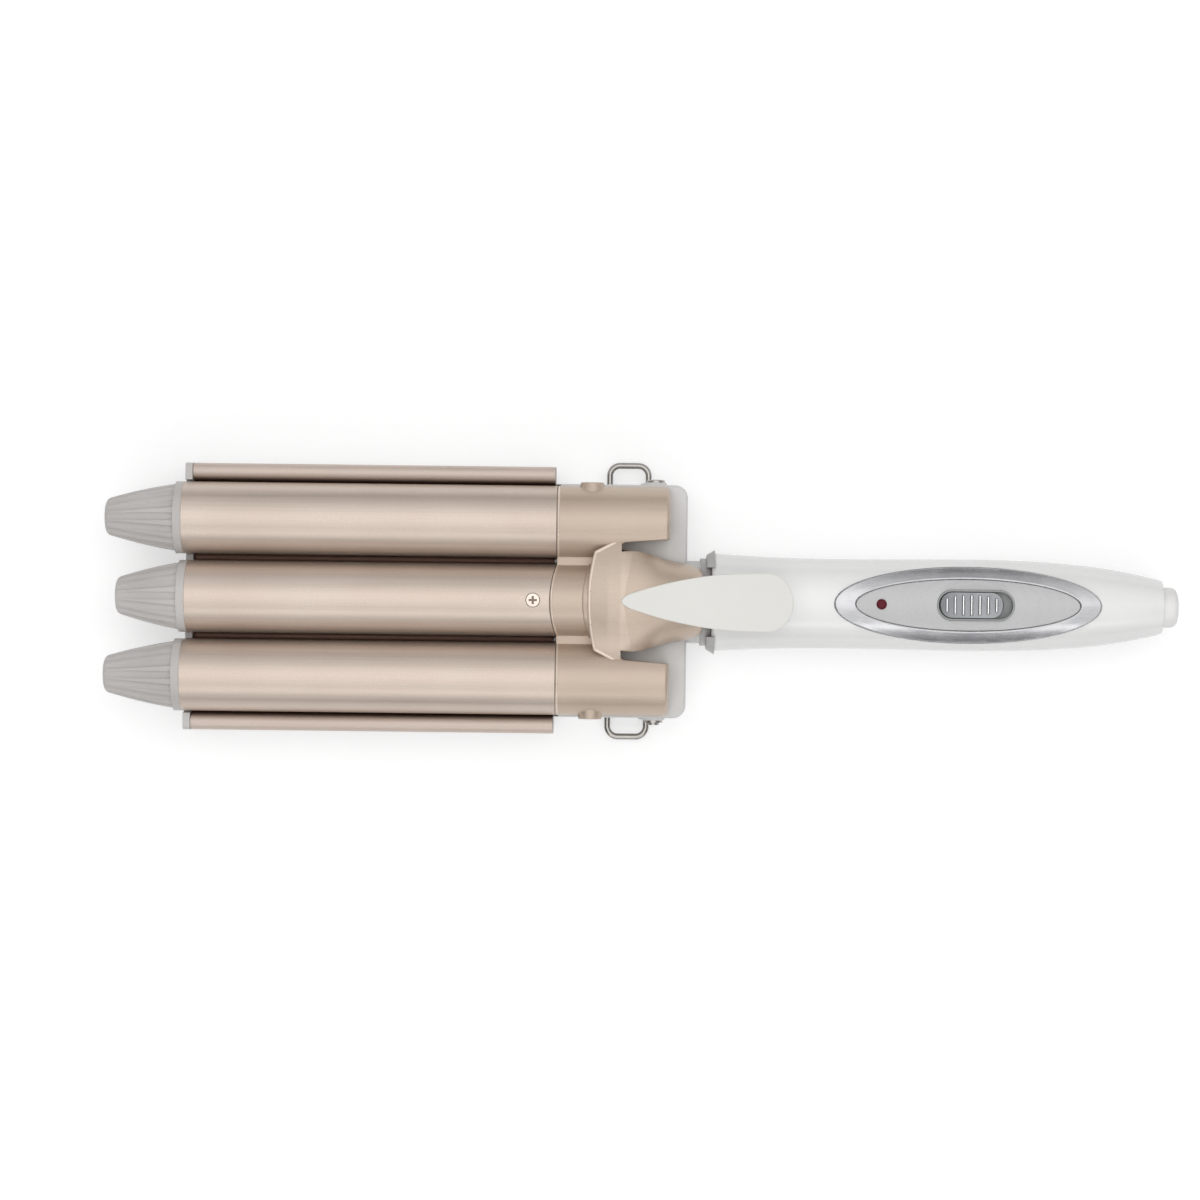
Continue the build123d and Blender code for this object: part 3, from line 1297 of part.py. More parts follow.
with BuildPart() as slide_switch:
    half_length = switch_length / 2
    half_width = switch_width / 2
    switch_top_z = board_top_z + switch_height
    case_ends = (slot_x - half_length, slot_x + half_length)
    block(case_ends, (-half_width, half_width), (board_top_z, switch_top_z))
    block(
        (slot_x - half_length + 1, slot_x + half_length - 1),
        (-half_width + 1, half_width - 1),
        (board_top_z + 1, switch_top_z - 1),
        Mode.SUBTRACT,
    )
    post_slot = actuator_side / 2 + knob_travel / 2 + hand_gap
    block(
        (slot_x - post_slot, slot_x + post_slot),
        (-actuator_side / 2 - hand_gap, actuator_side / 2 + hand_gap),
        (switch_top_z - 2, switch_top_z + 1),
        Mode.SUBTRACT,
    )
slide_switch.part.label = "slide_switch"
export_step(slide_switch.part, "parts/slide_switch.step")

with BuildPart() as circuit_board:
    block(
        (board_front_x, board_front_x + board_length),
        (-board_width / 2, board_width / 2),
        (board_z, board_top_z),
    )
    for x in board_spots:
        cylinder_hole(x, 0, board_z - 1, (0, 0, 1), screw_radius + joint_gap, board_thickness + 2)
circuit_board.part.label = "circuit_board"
export_step(circuit_board.part, "parts/circuit_board.step")

with BuildPart() as board_screws:
    for x in board_spots:
        cross_screw(x, 0, board_top_z, (0, 0, -1), 7.0)
board_screws.part.label = "board_screws"
export_step(board_screws.part, "parts/board_screws.step")

led_foot_z = board_top_z + 5.0
with BuildPart() as power_led:
    cylinder_boss(led_x, 0, led_foot_z, (0, 0, 1), 1.5, 4.4)
    fillet(power_led.faces().sort_by(Axis.Z)[-1].edges(), 1.2)
    cylinder_boss(led_x, 0, led_foot_z, (0, 0, 1), 1.9, 1.0)
    for way in (-1, 1):
        cylinder_boss(led_x, way * 1.0, board_top_z, (0, 0, 1), 0.3, 5.5)
power_led.part.label = "power_led"
export_step(power_led.part, "parts/power_led.step")

with BuildPart() as led_lens:
    cylinder_boss(led_x, 0, led_foot_z + 4.6, (0, 0, 1), led_radius, panel_top_z + 0.35 - led_foot_z - 4.6)
    fillet(led_lens.faces().sort_by(Axis.Z)[-1].edges(), 0.7)
led_lens.part.label = "led_lens"
export_step(led_lens.part, "parts/led_lens.step")


# =====================================================================================
# Cord swivel at the tail, and the wiring that stays inside the handle and lower jaw
# =====================================================================================
gland_wall_x = handle_rear_x - handle_wall
gland_inner_x = handle_rear_x - 15.0
gland_inner_radius = cord_hole_radius + 1.2
ring_radius = gland_inner_radius + 0.8
ring_width = 1.6
ring_xs = [gland_inner_x + 1.6, gland_inner_x + 5.4]
with BuildPart() as swivel_gland:
    with BuildSketch(Plane(origin=(0, 0, handle_z), x_dir=(1, 0, 0), z_dir=(0, -1, 0))):
        with BuildLine():
            flange_front_x = gland_wall_x - 2.0
            flange_rear_x = gland_wall_x - 0.1
            cap_front_x = handle_rear_x + hand_gap
            cap_rear_x = handle_rear_x + gland_length
            Polyline(
                (cap_rear_x, cord_hole_radius),
                (gland_inner_x, cord_hole_radius),
                (gland_inner_x, gland_inner_radius),
                (flange_front_x, gland_inner_radius),
                (flange_front_x, gland_neck_radius + 1.3),
                (flange_rear_x, gland_neck_radius + 1.3),
                (flange_rear_x, gland_neck_radius),
                (cap_front_x, gland_neck_radius),
                (cap_front_x, gland_radius),
                (cap_rear_x - 2.2, gland_radius),
            )
            RadiusArc((cap_rear_x - 2.2, gland_radius), (cap_rear_x, gland_radius - 2.2), 2.2)
            Line((cap_rear_x, gland_radius - 2.2), (cap_rear_x, cord_hole_radius))
        make_face()
    revolve(axis=Axis((0, 0, handle_z), (1, 0, 0)))
swivel_gland.part.label = "swivel_gland"
export_step(swivel_gland.part, "parts/swivel_gland.step")

with BuildPart() as contact_rings:
    for x in ring_xs:
        with Locations(Plane(origin=(x, 0, handle_z), z_dir=(1, 0, 0))):
            Cylinder(ring_radius, ring_width, align=(Align.CENTER, Align.CENTER, Align.MIN))
            Cylinder(gland_inner_radius, 3 * ring_width, mode=Mode.SUBTRACT)
contact_rings.part.label = "contact_rings"
export_step(contact_rings.part, "parts/contact_rings.step")

brush_top_z = handle_z - ring_radius - running
with BuildPart() as contact_brushes:
    for x in ring_xs:
        block((x + 0.2, x + ring_width - 0.2), (-1.0, 1.0), (brush_top_z - 1.8, brush_top_z))
contact_brushes.part.label = "contact_brushes"
export_step(contact_brushes.part, "parts/contact_brushes.step")

with BuildPart() as brush_holder:
    block(
        (ring_xs[0] - 0.8, ring_xs[1] + ring_width + 0.8),
        (-2.2, 2.2),
        (brush_top_z - 2.2, brush_top_z - 0.6),
    )
    add(contact_brushes.part, mode=Mode.SUBTRACT)
brush_holder.part.label = "brush_holder"
export_step(brush_holder.part, "parts/brush_holder.step")

board_mid_z = board_z + board_thickness / 2
with BuildPart() as lead_wires:
    for way in (-1, 1):
        route = [
            (bar_x + bar_length / 2, way * (lead_radius + 0.1), lead_z),
            (lower_front_x + lower_front_wall + 1.5, way * (lead_radius + 0.1), lead_z),
            (groove_front_x - 2.6, way * 6.5, neck_z),
            (board_front_x - 16.0, way * 6.5, neck_z),
            (board_front_x - 9.0, way * 6.5, board_mid_z),
            (board_front_x, way * 6.5, board_mid_z),
        ]
        with BuildLine() as lead_path:
            FilletPolyline(*route, radius=2.4)
        with BuildSketch(Plane(lead_path.line @ 0, z_dir=lead_path.line % 0)):
            Circle(lead_radius)
        sweep(path=lead_path.line)
lead_wires.part.label = "lead_wires"
export_step(lead_wires.part, "parts/lead_wires.step")
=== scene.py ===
import json
import math

import bpy
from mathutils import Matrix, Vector


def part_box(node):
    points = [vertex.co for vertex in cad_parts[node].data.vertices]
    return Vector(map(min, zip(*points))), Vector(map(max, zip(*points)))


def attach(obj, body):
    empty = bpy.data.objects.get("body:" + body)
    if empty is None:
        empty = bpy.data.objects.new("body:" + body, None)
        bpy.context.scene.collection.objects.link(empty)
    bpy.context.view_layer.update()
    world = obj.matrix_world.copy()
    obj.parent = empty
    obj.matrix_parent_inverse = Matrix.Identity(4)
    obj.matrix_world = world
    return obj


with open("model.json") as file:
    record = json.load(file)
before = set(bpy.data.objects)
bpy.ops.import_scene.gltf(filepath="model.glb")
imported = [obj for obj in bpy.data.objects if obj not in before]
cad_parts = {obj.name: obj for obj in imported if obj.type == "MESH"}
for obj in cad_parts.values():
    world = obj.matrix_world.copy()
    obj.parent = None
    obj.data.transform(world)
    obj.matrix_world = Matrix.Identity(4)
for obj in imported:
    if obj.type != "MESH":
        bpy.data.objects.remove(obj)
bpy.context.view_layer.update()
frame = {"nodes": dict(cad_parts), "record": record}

# ---------------------------------------------------------------------------------------------
# Small helpers
# ---------------------------------------------------------------------------------------------


def linear(hex_colour):
    """An sRGB hex colour as the linear colour that a shader socket takes."""
    parts = [int(hex_colour[i : i + 2], 16) / 255 for i in (0, 2, 4)]
    return [p / 12.92 if p <= 0.04045 else ((p + 0.055) / 1.055) ** 2.4 for p in parts] + [1.0]


def per(millimetres):
    """Texture scale at which one feature of a pattern is that many millimetres across."""
    return 1000.0 / millimetres


def add(tree, kind, settings=None, links=None):
    """One node in the tree: settings are its properties, inputs or ramp stops, links feed its inputs."""
    node = tree.nodes.new(kind)
    for name, value in (settings or {}).items():
        if name == "stops":
            ramp = node.color_ramp.elements
            while len(ramp) < len(value):
                ramp.new(0.5)
            for element, (place, hex_colour) in zip(ramp, value):
                element.position = place
                element.color = linear(hex_colour)
        elif isinstance(name, str) and hasattr(node, name):
            setattr(node, name, value)
        else:
            node.inputs[name].default_value = value
    for name, source in (links or {}).items():
        tree.links.new(source, node.inputs[name])
    return node


def new_material(name):
    """An empty material with its output node."""
    material = bpy.data.materials.new(name)
    material.use_nodes = True
    tree = material.node_tree
    tree.nodes.clear()
    return material, tree, add(tree, "ShaderNodeOutputMaterial")


# ---------------------------------------------------------------------------------------------
# Finishes
# ---------------------------------------------------------------------------------------------


def lacquer(name, dark, light, metallic, rough, stretch, coat=0.1, edge_mm=0.3, face=None):
    """Champagne ceramic lacquer, sprayed and baked: pearl flakes in a film that lies over the lines
    of drawing or polishing, which run along the tool, with orange peel a millimetre or two across.
    The smaller the stretch, the longer those lines. A face is painted shade on the strip about the
    middle, down between the barrels: its half width, and the brown that it is multiplied by."""
    material, tree, out = new_material(name)
    place = add(tree, "ShaderNodeTexCoord").outputs["Object"]
    along = add(tree, "ShaderNodeMapping", {"Scale": (stretch, 1.0, 1.0)}, {"Vector": place})
    # Real drawing lines are 0.1 mm wide; drawn six times wider, with the soft bands that they form.
    fine = {"Scale": per(0.6), "Detail": 4.0, "Roughness": 0.6}
    lines = add(tree, "ShaderNodeTexNoise", fine, {"Vector": along.outputs["Vector"]}).outputs["Fac"]
    broad = {"Scale": per(2.8), "Detail": 2.0, "Roughness": 0.6}
    bands = add(tree, "ShaderNodeTexNoise", broad, {"Vector": along.outputs["Vector"]}).outputs["Fac"]
    # The spray gun's passes leave the film a little thicker every 42 mm or so.
    drift = {"Scale": per(42.0), "Detail": 2.0, "Roughness": 0.6}
    clouds = add(tree, "ShaderNodeTexNoise", drift, {"Vector": place}).outputs["Fac"]
    ripple = {"Scale": per(1.6), "Detail": 2.0, "Roughness": 0.6}
    peel = add(tree, "ShaderNodeTexNoise", ripple, {"Vector": place}).outputs["Fac"]
    # Real flakes are 0.05 mm; drawn ten times larger, so that they still show as a faint sparkle.
    flakes = add(tree, "ShaderNodeTexVoronoi", {"Scale": per(0.5)}, {"Vector": place})
    evenly = {"data_type": "FLOAT", "Factor": 0.5}
    streaks = add(tree, "ShaderNodeMix", evenly, {"A": lines, "B": bands}).outputs["Result"]
    cloud_share = {"data_type": "FLOAT", "Factor": 0.3}
    clouded = add(tree, "ShaderNodeMix", cloud_share, {"A": streaks, "B": clouds}).outputs["Result"]
    flake_share = {"data_type": "FLOAT", "Factor": 0.12}
    tone = add(tree, "ShaderNodeMix", flake_share, {"A": clouded, "B": flakes.outputs["Distance"]})
    colour = add(
        tree,
        "ShaderNodeValToRGB",
        {"stops": [(0.32, dark), (0.66, light)]},
        {"Fac": tone.outputs["Result"]},
    )
    paint = colour.outputs["Color"]
    if face:
        # Painted shade: the middle of the plate, down between the barrels, is multiplied darker brown.
        half_width, brown = face
        spot = add(tree, "ShaderNodeSeparateXYZ", {}, {"Vector": place})
        off_middle = add(tree, "ShaderNodeMath", {"operation": "ABSOLUTE"}, {0: spot.outputs["Y"]})
        fade = 0.0008
        border = {"From Min": half_width + fade, "From Max": half_width - fade}
        gap_shade_mask = add(tree, "ShaderNodeMapRange", border, {"Value": off_middle.outputs["Value"]})
        paint = add(
            tree,
            "ShaderNodeMix",
            {"data_type": "RGBA", "blend_type": "MULTIPLY", "B": linear(brown)},
            {"Factor": gap_shade_mask.outputs["Result"], "A": paint},
        ).outputs["Result"]
    sheen = {"From Min": 0.3, "From Max": 0.7, "To Min": rough - 0.06, "To Max": rough + 0.08}
    gloss = add(tree, "ShaderNodeMapRange", sheen, {"Value": streaks})
    film = add(tree, "ShaderNodeMix", evenly, {"A": peel, "B": lines})
    corner = add(tree, "ShaderNodeBevel", {"samples": 6, "Radius": edge_mm / 1000})
    relief = add(
        tree,
        "ShaderNodeBump",
        {"Strength": 0.15, "Distance": 0.0001},
        {"Height": film.outputs["Result"], "Normal": corner.outputs["Normal"]},
    )
    surface = add(
        tree,
        "ShaderNodeBsdfPrincipled",
        {"Metallic": metallic, "IOR": 1.5, "Coat Weight": coat, "Coat Roughness": 0.15},
        {
            "Base Color": paint,
            "Roughness": gloss.outputs["Result"],
            "Normal": relief.outputs["Normal"],
        },
    )
    tree.links.new(surface.outputs["BSDF"], out.inputs["Surface"])
    return material


def moulded(
    name, dark, light, rough, grain_mm, grain, glow=0.0, coat=0.0, edge_mm=0.25, ripples=None, shine=0.5
):
    """Injection-moulded plastic: an even body colour with faint flow clouding, the fine spark-eroded
    texture of the mould, and a little light carried inside pale or frosted grades. Ripples are
    moulded rings: their centre, how far they are drawn out along the tool, and their spacing."""
    material, tree, out = new_material(name)
    place = add(tree, "ShaderNodeTexCoord").outputs["Object"]
    slow = {"Scale": per(30.0), "Detail": 2.0, "Roughness": 0.6}
    flow = add(tree, "ShaderNodeTexNoise", slow, {"Vector": place}).outputs["Fac"]
    # Real spark grain is under 0.1 mm; it is drawn at about half a millimetre, so that it shows.
    # A polished mould leaves no grain, only soft waves a millimetre or more across.
    fine = {"Scale": per(grain_mm), "Detail": 3.0, "Roughness": 0.6}
    texture = add(tree, "ShaderNodeTexNoise", fine, {"Vector": place}).outputs["Fac"]
    grain_share = {"data_type": "FLOAT", "Factor": 0.3}
    tone = add(tree, "ShaderNodeMix", grain_share, {"A": flow, "B": texture})
    colour = add(
        tree,
        "ShaderNodeValToRGB",
        {"stops": [(0.32, dark), (0.68, light)]},
        {"Fac": tone.outputs["Result"]},
    )
    corner = add(tree, "ShaderNodeBevel", {"samples": 6, "Radius": edge_mm / 1000})
    relief = add(
        tree,
        "ShaderNodeBump",
        {"Strength": grain, "Distance": 0.00008},
        {"Height": texture, "Normal": corner.outputs["Normal"]},
    )
    if ripples:
        centre, squeeze, pitch_mm = ripples
        around = {"vector_type": "TEXTURE", "Location": centre, "Scale": (squeeze, 1.0, 1.0)}
        rings = add(tree, "ShaderNodeMapping", around, {"Vector": place})
        # At a scale of 1 the wave node runs through 20 radians in each unit of length.
        scale = math.tau * per(pitch_mm) / 20
        waves = {"wave_type": "RINGS", "rings_direction": "Z", "Scale": scale}
        swell = add(tree, "ShaderNodeTexWave", waves, {"Vector": rings.outputs["Vector"]})
        relief = add(
            tree,
            "ShaderNodeBump",
            {"Strength": 0.35, "Distance": 0.0002},
            {"Height": swell.outputs["Fac"], "Normal": relief.outputs["Normal"]},
        )
    sheen = {"From Min": 0.3, "From Max": 0.7, "To Min": rough - 0.05, "To Max": rough + 0.05}
    gloss = add(tree, "ShaderNodeMapRange", sheen, {"Value": texture})
    surface = add(
        tree,
        "ShaderNodeBsdfPrincipled",
        {
            "IOR": 1.5,
            "Specular IOR Level": shine,
            "Subsurface Weight": glow,
            "Subsurface Radius": (1.0, 0.9, 0.8),
            "Subsurface Scale": 0.001,
            "Coat Weight": coat,
            "Coat Roughness": 0.06,
        },
        {
            "Base Color": colour.outputs["Color"],
            "Roughness": gloss.outputs["Result"],
            "Normal": relief.outputs["Normal"],
        },
    )
    tree.links.new(surface.outputs["BSDF"], out.inputs["Surface"])
    return material


def worked_metal(name, dark, light, rough, line_mm, stretch, grain, edge_mm=0.15, height_highlight=None):
    """Bare or plated metal: the drawing, brushing or turning lines of its making, stretched along
    one axis, and slow clouding in the polish. A height highlight is a painted highlight on what
    stands high, with the darker base colour left below it as painted shade: the two heights
    between which it fades in, the middle and the bow of the dished face that they are measured
    from, and its colour."""
    material, tree, out = new_material(name)
    place = add(tree, "ShaderNodeTexCoord").outputs["Object"]
    along = add(tree, "ShaderNodeMapping", {"Scale": stretch}, {"Vector": place})
    # Real tool lines are a few hundredths of a millimetre; they are drawn coarse enough to show.
    fine = {"Scale": per(line_mm), "Detail": 4.0, "Roughness": 0.6}
    lines = add(tree, "ShaderNodeTexNoise", fine, {"Vector": along.outputs["Vector"]}).outputs["Fac"]
    slow = {"Scale": per(9.0), "Detail": 2.0, "Roughness": 0.6}
    clouds = add(tree, "ShaderNodeTexNoise", slow, {"Vector": place}).outputs["Fac"]
    evenly = {"data_type": "FLOAT", "Factor": 0.5}
    tone = add(tree, "ShaderNodeMix", evenly, {"A": lines, "B": clouds}).outputs["Result"]
    colour = add(tree, "ShaderNodeValToRGB", {"stops": [(0.34, dark), (0.66, light)]}, {"Fac": tone})
    paint = colour.outputs["Color"]
    if height_highlight:
        # Painted highlight: a lighter colour on what stands above the given height over the dish; lower
        # parts keep the darker base as painted shade.
        foot, top, middle, bow, bright = height_highlight
        spot = add(tree, "ShaderNodeSeparateXYZ", {}, {"Vector": place})
        off_middle = {"operation": "SUBTRACT", 1: middle}
        run = add(tree, "ShaderNodeMath", off_middle, {0: spot.outputs["X"]}).outputs["Value"]
        squared = add(tree, "ShaderNodeMath", {"operation": "MULTIPLY"}, {0: run, 1: run})
        dish = {"operation": "MULTIPLY", 1: bow}
        rise = add(tree, "ShaderNodeMath", dish, {0: squared.outputs["Value"]}).outputs["Value"]
        level = {0: spot.outputs["Z"], 1: rise}
        height = add(tree, "ShaderNodeMath", {"operation": "SUBTRACT"}, level)
        span = {"From Min": foot, "From Max": top}
        highlight_share = add(tree, "ShaderNodeMapRange", span, {"Value": height.outputs["Value"]})
        paint = add(
            tree,
            "ShaderNodeMix",
            {"data_type": "RGBA", "B": linear(bright)},
            {"Factor": highlight_share.outputs["Result"], "A": paint},
        ).outputs["Result"]
    sheen = {"From Min": 0.3, "From Max": 0.7, "To Min": rough * 0.75, "To Max": rough * 1.3}
    gloss = add(tree, "ShaderNodeMapRange", sheen, {"Value": tone})
    corner = add(tree, "ShaderNodeBevel", {"samples": 6, "Radius": edge_mm / 1000})
    relief = add(
        tree,
        "ShaderNodeBump",
        {"Strength": grain, "Distance": 0.00005},
        {"Height": lines, "Normal": corner.outputs["Normal"]},
    )
    surface = add(
        tree,
        "ShaderNodeBsdfPrincipled",
        {"Metallic": 1.0},
        {
            "Base Color": paint,
            "Roughness": gloss.outputs["Result"],
            "Normal": relief.outputs["Normal"],
        },
    )
    tree.links.new(surface.outputs["BSDF"], out.inputs["Surface"])
    return material


track_low, track_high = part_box("slide_track")
slot_centre = tuple((low + high) / 2 for low, high in zip(track_low, track_high))
slot_ripples = (slot_centre, 1.6, 2.4)

# The knob's top is dished along the tool, and its ridges stand out of the dish. The dish rises
# from its middle with the square of the way along, over twice its radius.
knob_low, knob_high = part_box("slide_knob")
knob_middle = (knob_low[0] + knob_high[0]) / 2
dish_depth = 0.0011
dish_radius = 0.052
dish_bottom = knob_high[2] - dish_depth
dish_bow = 0.5 / dish_radius
# The ridge tops are painted near white as a highlight, measured above the dish.
ridge_highlight = (dish_bottom + 0.0001, dish_bottom + 0.0004, knob_middle, dish_bow, "fbfbfb")

# A screw head's flat top is painted bright as a highlight, and its cross recess keeps the dark base
# colour as painted shade.
screw_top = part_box("barrel_screws")[1][2]
recess_depth = 0.0006
screw_top_highlight = (screw_top - recess_depth, screw_top - 0.0001, 0.0, 0.0, "d8cdc1")

# The wave plate's rolled edges lie outside the middle strip that is painted darker, as shade between the
# barrels.
rolled_edge = 0.0052
gap_shade = (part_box("wave_plate")[1][1] - rolled_edge, "8a6f62")

finishes = {
    # Drawn aluminium tube under ceramic lacquer: long fine streaks and a broad soft highlight.
    "barrel_coat": lacquer(
        "lacquer_on_drawn_aluminium", dark="c4b3a6", light="d7c9be",
        metallic=0.75, rough=0.4, stretch=0.01,
    ),
    # Pressed sheet under the same lacquer, duller, and painted darker brown in the middle, as painted
    # shade down between the barrels.
    "wave_coat": lacquer(
        "lacquer_on_pressed_sheet", dark="c9b7ab", light="dacbc0",
        metallic=0.4, rough=0.46, stretch=0.05, coat=0.05, face=gap_shade,
    ),
    # Polyester moulding sprayed champagne: the same tone, a little deeper, with a satin gloss.
    "housing_paint": lacquer(
        "lacquer_on_moulded_housing", dark="c0ad9d", light="cebdac",
        metallic=0.5, rough=0.42, stretch=0.04, coat=0.15, edge_mm=0.5,
    ),
    # Frosted polyester tips: light sinks in a little, so that the flutes look soft.
    "tip_plastic": moulded(
        "frosted_polyester", dark="c0bcb9", light="d0ccc9",
        rough=0.4, grain_mm=0.5, grain=0.15, glow=0.05,
    ),
    # Glossy white ABS from a polished mould: nearly even, with a clear skin of gloss.
    "white_plastic": moulded(
        "glossy_white_abs", dark="f3f3f2", light="f8f8f7",
        rough=0.22, grain_mm=1.6, grain=0.04, coat=0.4, edge_mm=0.5,
    ),
    # Heat-proof grey polyester: matt spark grain and faint grey flow.
    "lower_plastic": moulded(
        "pale_grey_polyester", dark="d8d7d5", light="e0dfdd",
        rough=0.42, grain_mm=0.45, grain=0.2,
    ),
    # The tray's polyester, painted a shade darker and warmer than the lower housing's, as painted shade
    # on its walls.
    "tray_plastic": moulded(
        "pale_grey_polyester_tray", dark="c9c7c4", light="d4d2cf",
        rough=0.42, grain_mm=0.45, grain=0.2,
    ),
    # Silver ABS panel: metallic pigment makes it cool and satin, with moulded ripples by the slot.
    "panel_plastic": moulded(
        "silver_pigmented_abs", dark="c4c3c3", light="d0cfd0",
        rough=0.3, grain_mm=0.6, grain=0.1, coat=0.3, ripples=slot_ripples,
    ),
    # Grey ABS track: matt, so that the slot looks deeper than it is.
    "track_plastic": moulded(
        "mid_grey_abs", dark="969897", light="a5a7a6",
        rough=0.4, grain_mm=0.5, grain=0.2,
    ),
    # Vacuum-metallised ABS knob: mid grey shine, and a painted highlight, near white, on the ridge tops.
    "knob_plastic": worked_metal(
        "vacuum_metallised_abs", dark="7e8083", light="97999b",
        rough=0.3, line_mm=0.5, stretch=(1.0, 0.2, 1.0), grain=0.1, height_highlight=ridge_highlight,
    ),
    # Clear red acrylic lens with the lamp off: dark wine red, deep and smooth.
    "lens_plastic": moulded(
        "clear_dark_red_acrylic", dark="560614", light="700c22",
        rough=0.4, grain_mm=0.8, grain=0.05, glow=0.1, shine=0.25,
    ),
    # Grey polyester collar, matt like the lower housing but darker.
    "collar_plastic": moulded(
        "mid_grey_polyester", dark="c6c6c5", light="d0d0cf",
        rough=0.4, grain_mm=0.45, grain=0.2,
    ),
    # White ABS gland with a light grain for grip.
    "gland_plastic": moulded(
        "white_abs_gland", dark="eeedeb", light="f5f4f2",
        rough=0.34, grain_mm=0.5, grain=0.14,
    ),
    # Glass-filled nylon: near black with the grey bloom of its fibres at the surface.
    "frame_plastic": moulded(
        "black_glass_filled_nylon", dark="26262a", light="37373b",
        rough=0.5, grain_mm=0.5, grain=0.3,
    ),
    # Plain black ABS of the switch body.
    "switch_black": moulded(
        "black_abs", dark="141415", light="202022",
        rough=0.4, grain_mm=0.5, grain=0.2,
    ),
    # Natural acetal bushings: milky, waxy, a little light inside.
    "bushing_plastic": moulded(
        "natural_acetal", dark="e2dfd3", light="eeebe0",
        rough=0.34, grain_mm=0.6, grain=0.1, glow=0.3,
    ),
    # Silicone wire jacket: soft, matt and slightly yellow.
    "wire_jacket": moulded(
        "silicone_wire_jacket", dark="d6d1c4", light="e2ddd0",
        rough=0.55, grain_mm=0.4, grain=0.2,
    ),
    # Green glass epoxy board: the weave shows as a fine mottle under a glossy mask.
    "board_laminate": moulded(
        "green_glass_epoxy", dark="1d5a34", light="2a6d42",
        rough=0.3, grain_mm=0.35, grain=0.2,
    ),
    # Needled glass felt: deep fibrous grain and no gloss.
    "insulation": moulded(
        "needled_glass_felt", dark="d5d2c6", light="e8e5da",
        rough=0.9, grain_mm=0.6, grain=1.0,
    ),
    # Fired alumina, unglazed: chalky and fine-grained.
    "heater_ceramic": moulded(
        "unglazed_alumina", dark="dcd8cf", light="eae6de",
        rough=0.7, grain_mm=0.3, grain=0.4,
    ),
    # Pressed carbon brushes: dull black with a sooty grain.
    "carbon": moulded(
        "pressed_carbon", dark="1d1d1e", light="2e2e30",
        rough=0.6, grain_mm=0.3, grain=0.5,
    ),
    # Satin chrome over moulded ABS: smooth grey shine with soft-edged reflections.
    "chrome_plate": worked_metal(
        "satin_chrome_on_abs", dark="b4b4b7", light="c6c6c8",
        rough=0.26, line_mm=0.7, stretch=(0.12, 1.0, 1.0), grain=0.03, edge_mm=0.3,
    ),
    # Zinc-plated steel: greyish, with fine mottled crystals.
    "steel": worked_metal(
        "zinc_plated_steel", dark="a8a49f", light="c2beb9",
        rough=0.3, line_mm=0.25, stretch=(1.0, 1.0, 1.0), grain=0.2,
    ),
    # Nickel-plated drawn wire: bright, with lines along the wire.
    "stand_steel": worked_metal(
        "nickel_plated_wire", dark="a09d99", light="b6b3ae",
        rough=0.2, line_mm=0.5, stretch=(0.2, 1.0, 1.0), grain=0.08,
    ),
    # Oil-tempered spring wire: dark blue-grey with a dull shine.
    "spring_steel": worked_metal(
        "oil_tempered_wire", dark="6d6d70", light="8a8a8d",
        rough=0.34, line_mm=0.3, stretch=(1.0, 1.0, 1.0), grain=0.2,
    ),
    # Extruded aluminium: light grey with die lines along it.
    "bare_aluminium": worked_metal(
        "extruded_aluminium", dark="bfc1c4", light="d2d4d6",
        rough=0.34, line_mm=0.4, stretch=(0.05, 1.0, 1.0), grain=0.2,
    ),
    # Turned brass: warm yellow with rings from the tool.
    "brass": worked_metal(
        "turned_brass", dark="bf9b4e", light="d6b566",
        rough=0.24, line_mm=0.2, stretch=(1.0, 0.1, 1.0), grain=0.2,
    ),
}

# The lever is moulded in a warmer white than the handle shells, with a satin skin.
lever_white = moulded(
    "satin_warm_white_abs", dark="eae9e4", light="eeede8",
    rough=0.34, grain_mm=7.0, grain=0.02, coat=0.1, edge_mm=0.6,
)
# Screw heads that show on the lacquered parts are nickel plated with a champagne tint, in a dark base
# colour with a painted highlight on their flat tops.
screw_nickel = worked_metal(
    "champagne_nickel_plate", dark="6e6258", light="7d7066",
    rough=0.3, line_mm=0.25, stretch=(1.0, 1.0, 1.0), grain=0.15, edge_mm=0.12, height_highlight=screw_top_highlight,
)
own_finish = {
    "thumb_lever": lever_white,
    "barrel_screws": screw_nickel,
    "housing_screws": screw_nickel,
}

for part in frame["record"]["subparts"]:
    piece = frame["nodes"][part["node"]]
    for socket in piece.material_slots:
        socket.material = own_finish.get(part["node"], finishes[part["material_slot"]])

# ---------------------------------------------------------------------------------------------
# Beads and dome front moulded on the upper housing
# ---------------------------------------------------------------------------------------------

barrel_radius = 0.0125
barrel_pitch = 0.02725
axis_height = 0.022
above_the_tool = 0.06


def housing_height(x, y):
    """Height of the upper housing's skin at a place, or of its split line where it is cut away."""
    start = Vector((x, y, above_the_tool))
    hit, place, _, _ = frame["nodes"]["upper_housing"].ray_cast(start, Vector((0.0, 0.0, -1.0)))
    return place.z if hit else axis_height


def moulded_bead(name, line, radius, finish):
    """A round bead of the housing's own moulding along a line of points."""
    curve = bpy.data.curves.new(name, "CURVE")
    curve.dimensions = "3D"
    curve.bevel_depth = radius
    curve.bevel_resolution = 4
    curve.use_fill_caps = True
    spline = curve.splines.new("POLY")
    spline.points.add(len(line) - 1)
    for point, place in zip(spline.points, line):
        point.co = (*place, 1.0)
    bead = bpy.data.objects.new(name, curve)
    bpy.context.scene.collection.objects.link(bead)
    curve.materials.append(finish)
    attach(bead, "upper_jaw")


def arc_route(tip_x, radius, half_width, steps=60):
    """Points along an arc that bows towards the tips, from one side of the tool to the other."""
    points = []
    for step in range(steps + 1):
        y = half_width * (2 * step / steps - 1)
        points.append((tip_x + radius - math.sqrt(radius**2 - y**2), y))
    return points


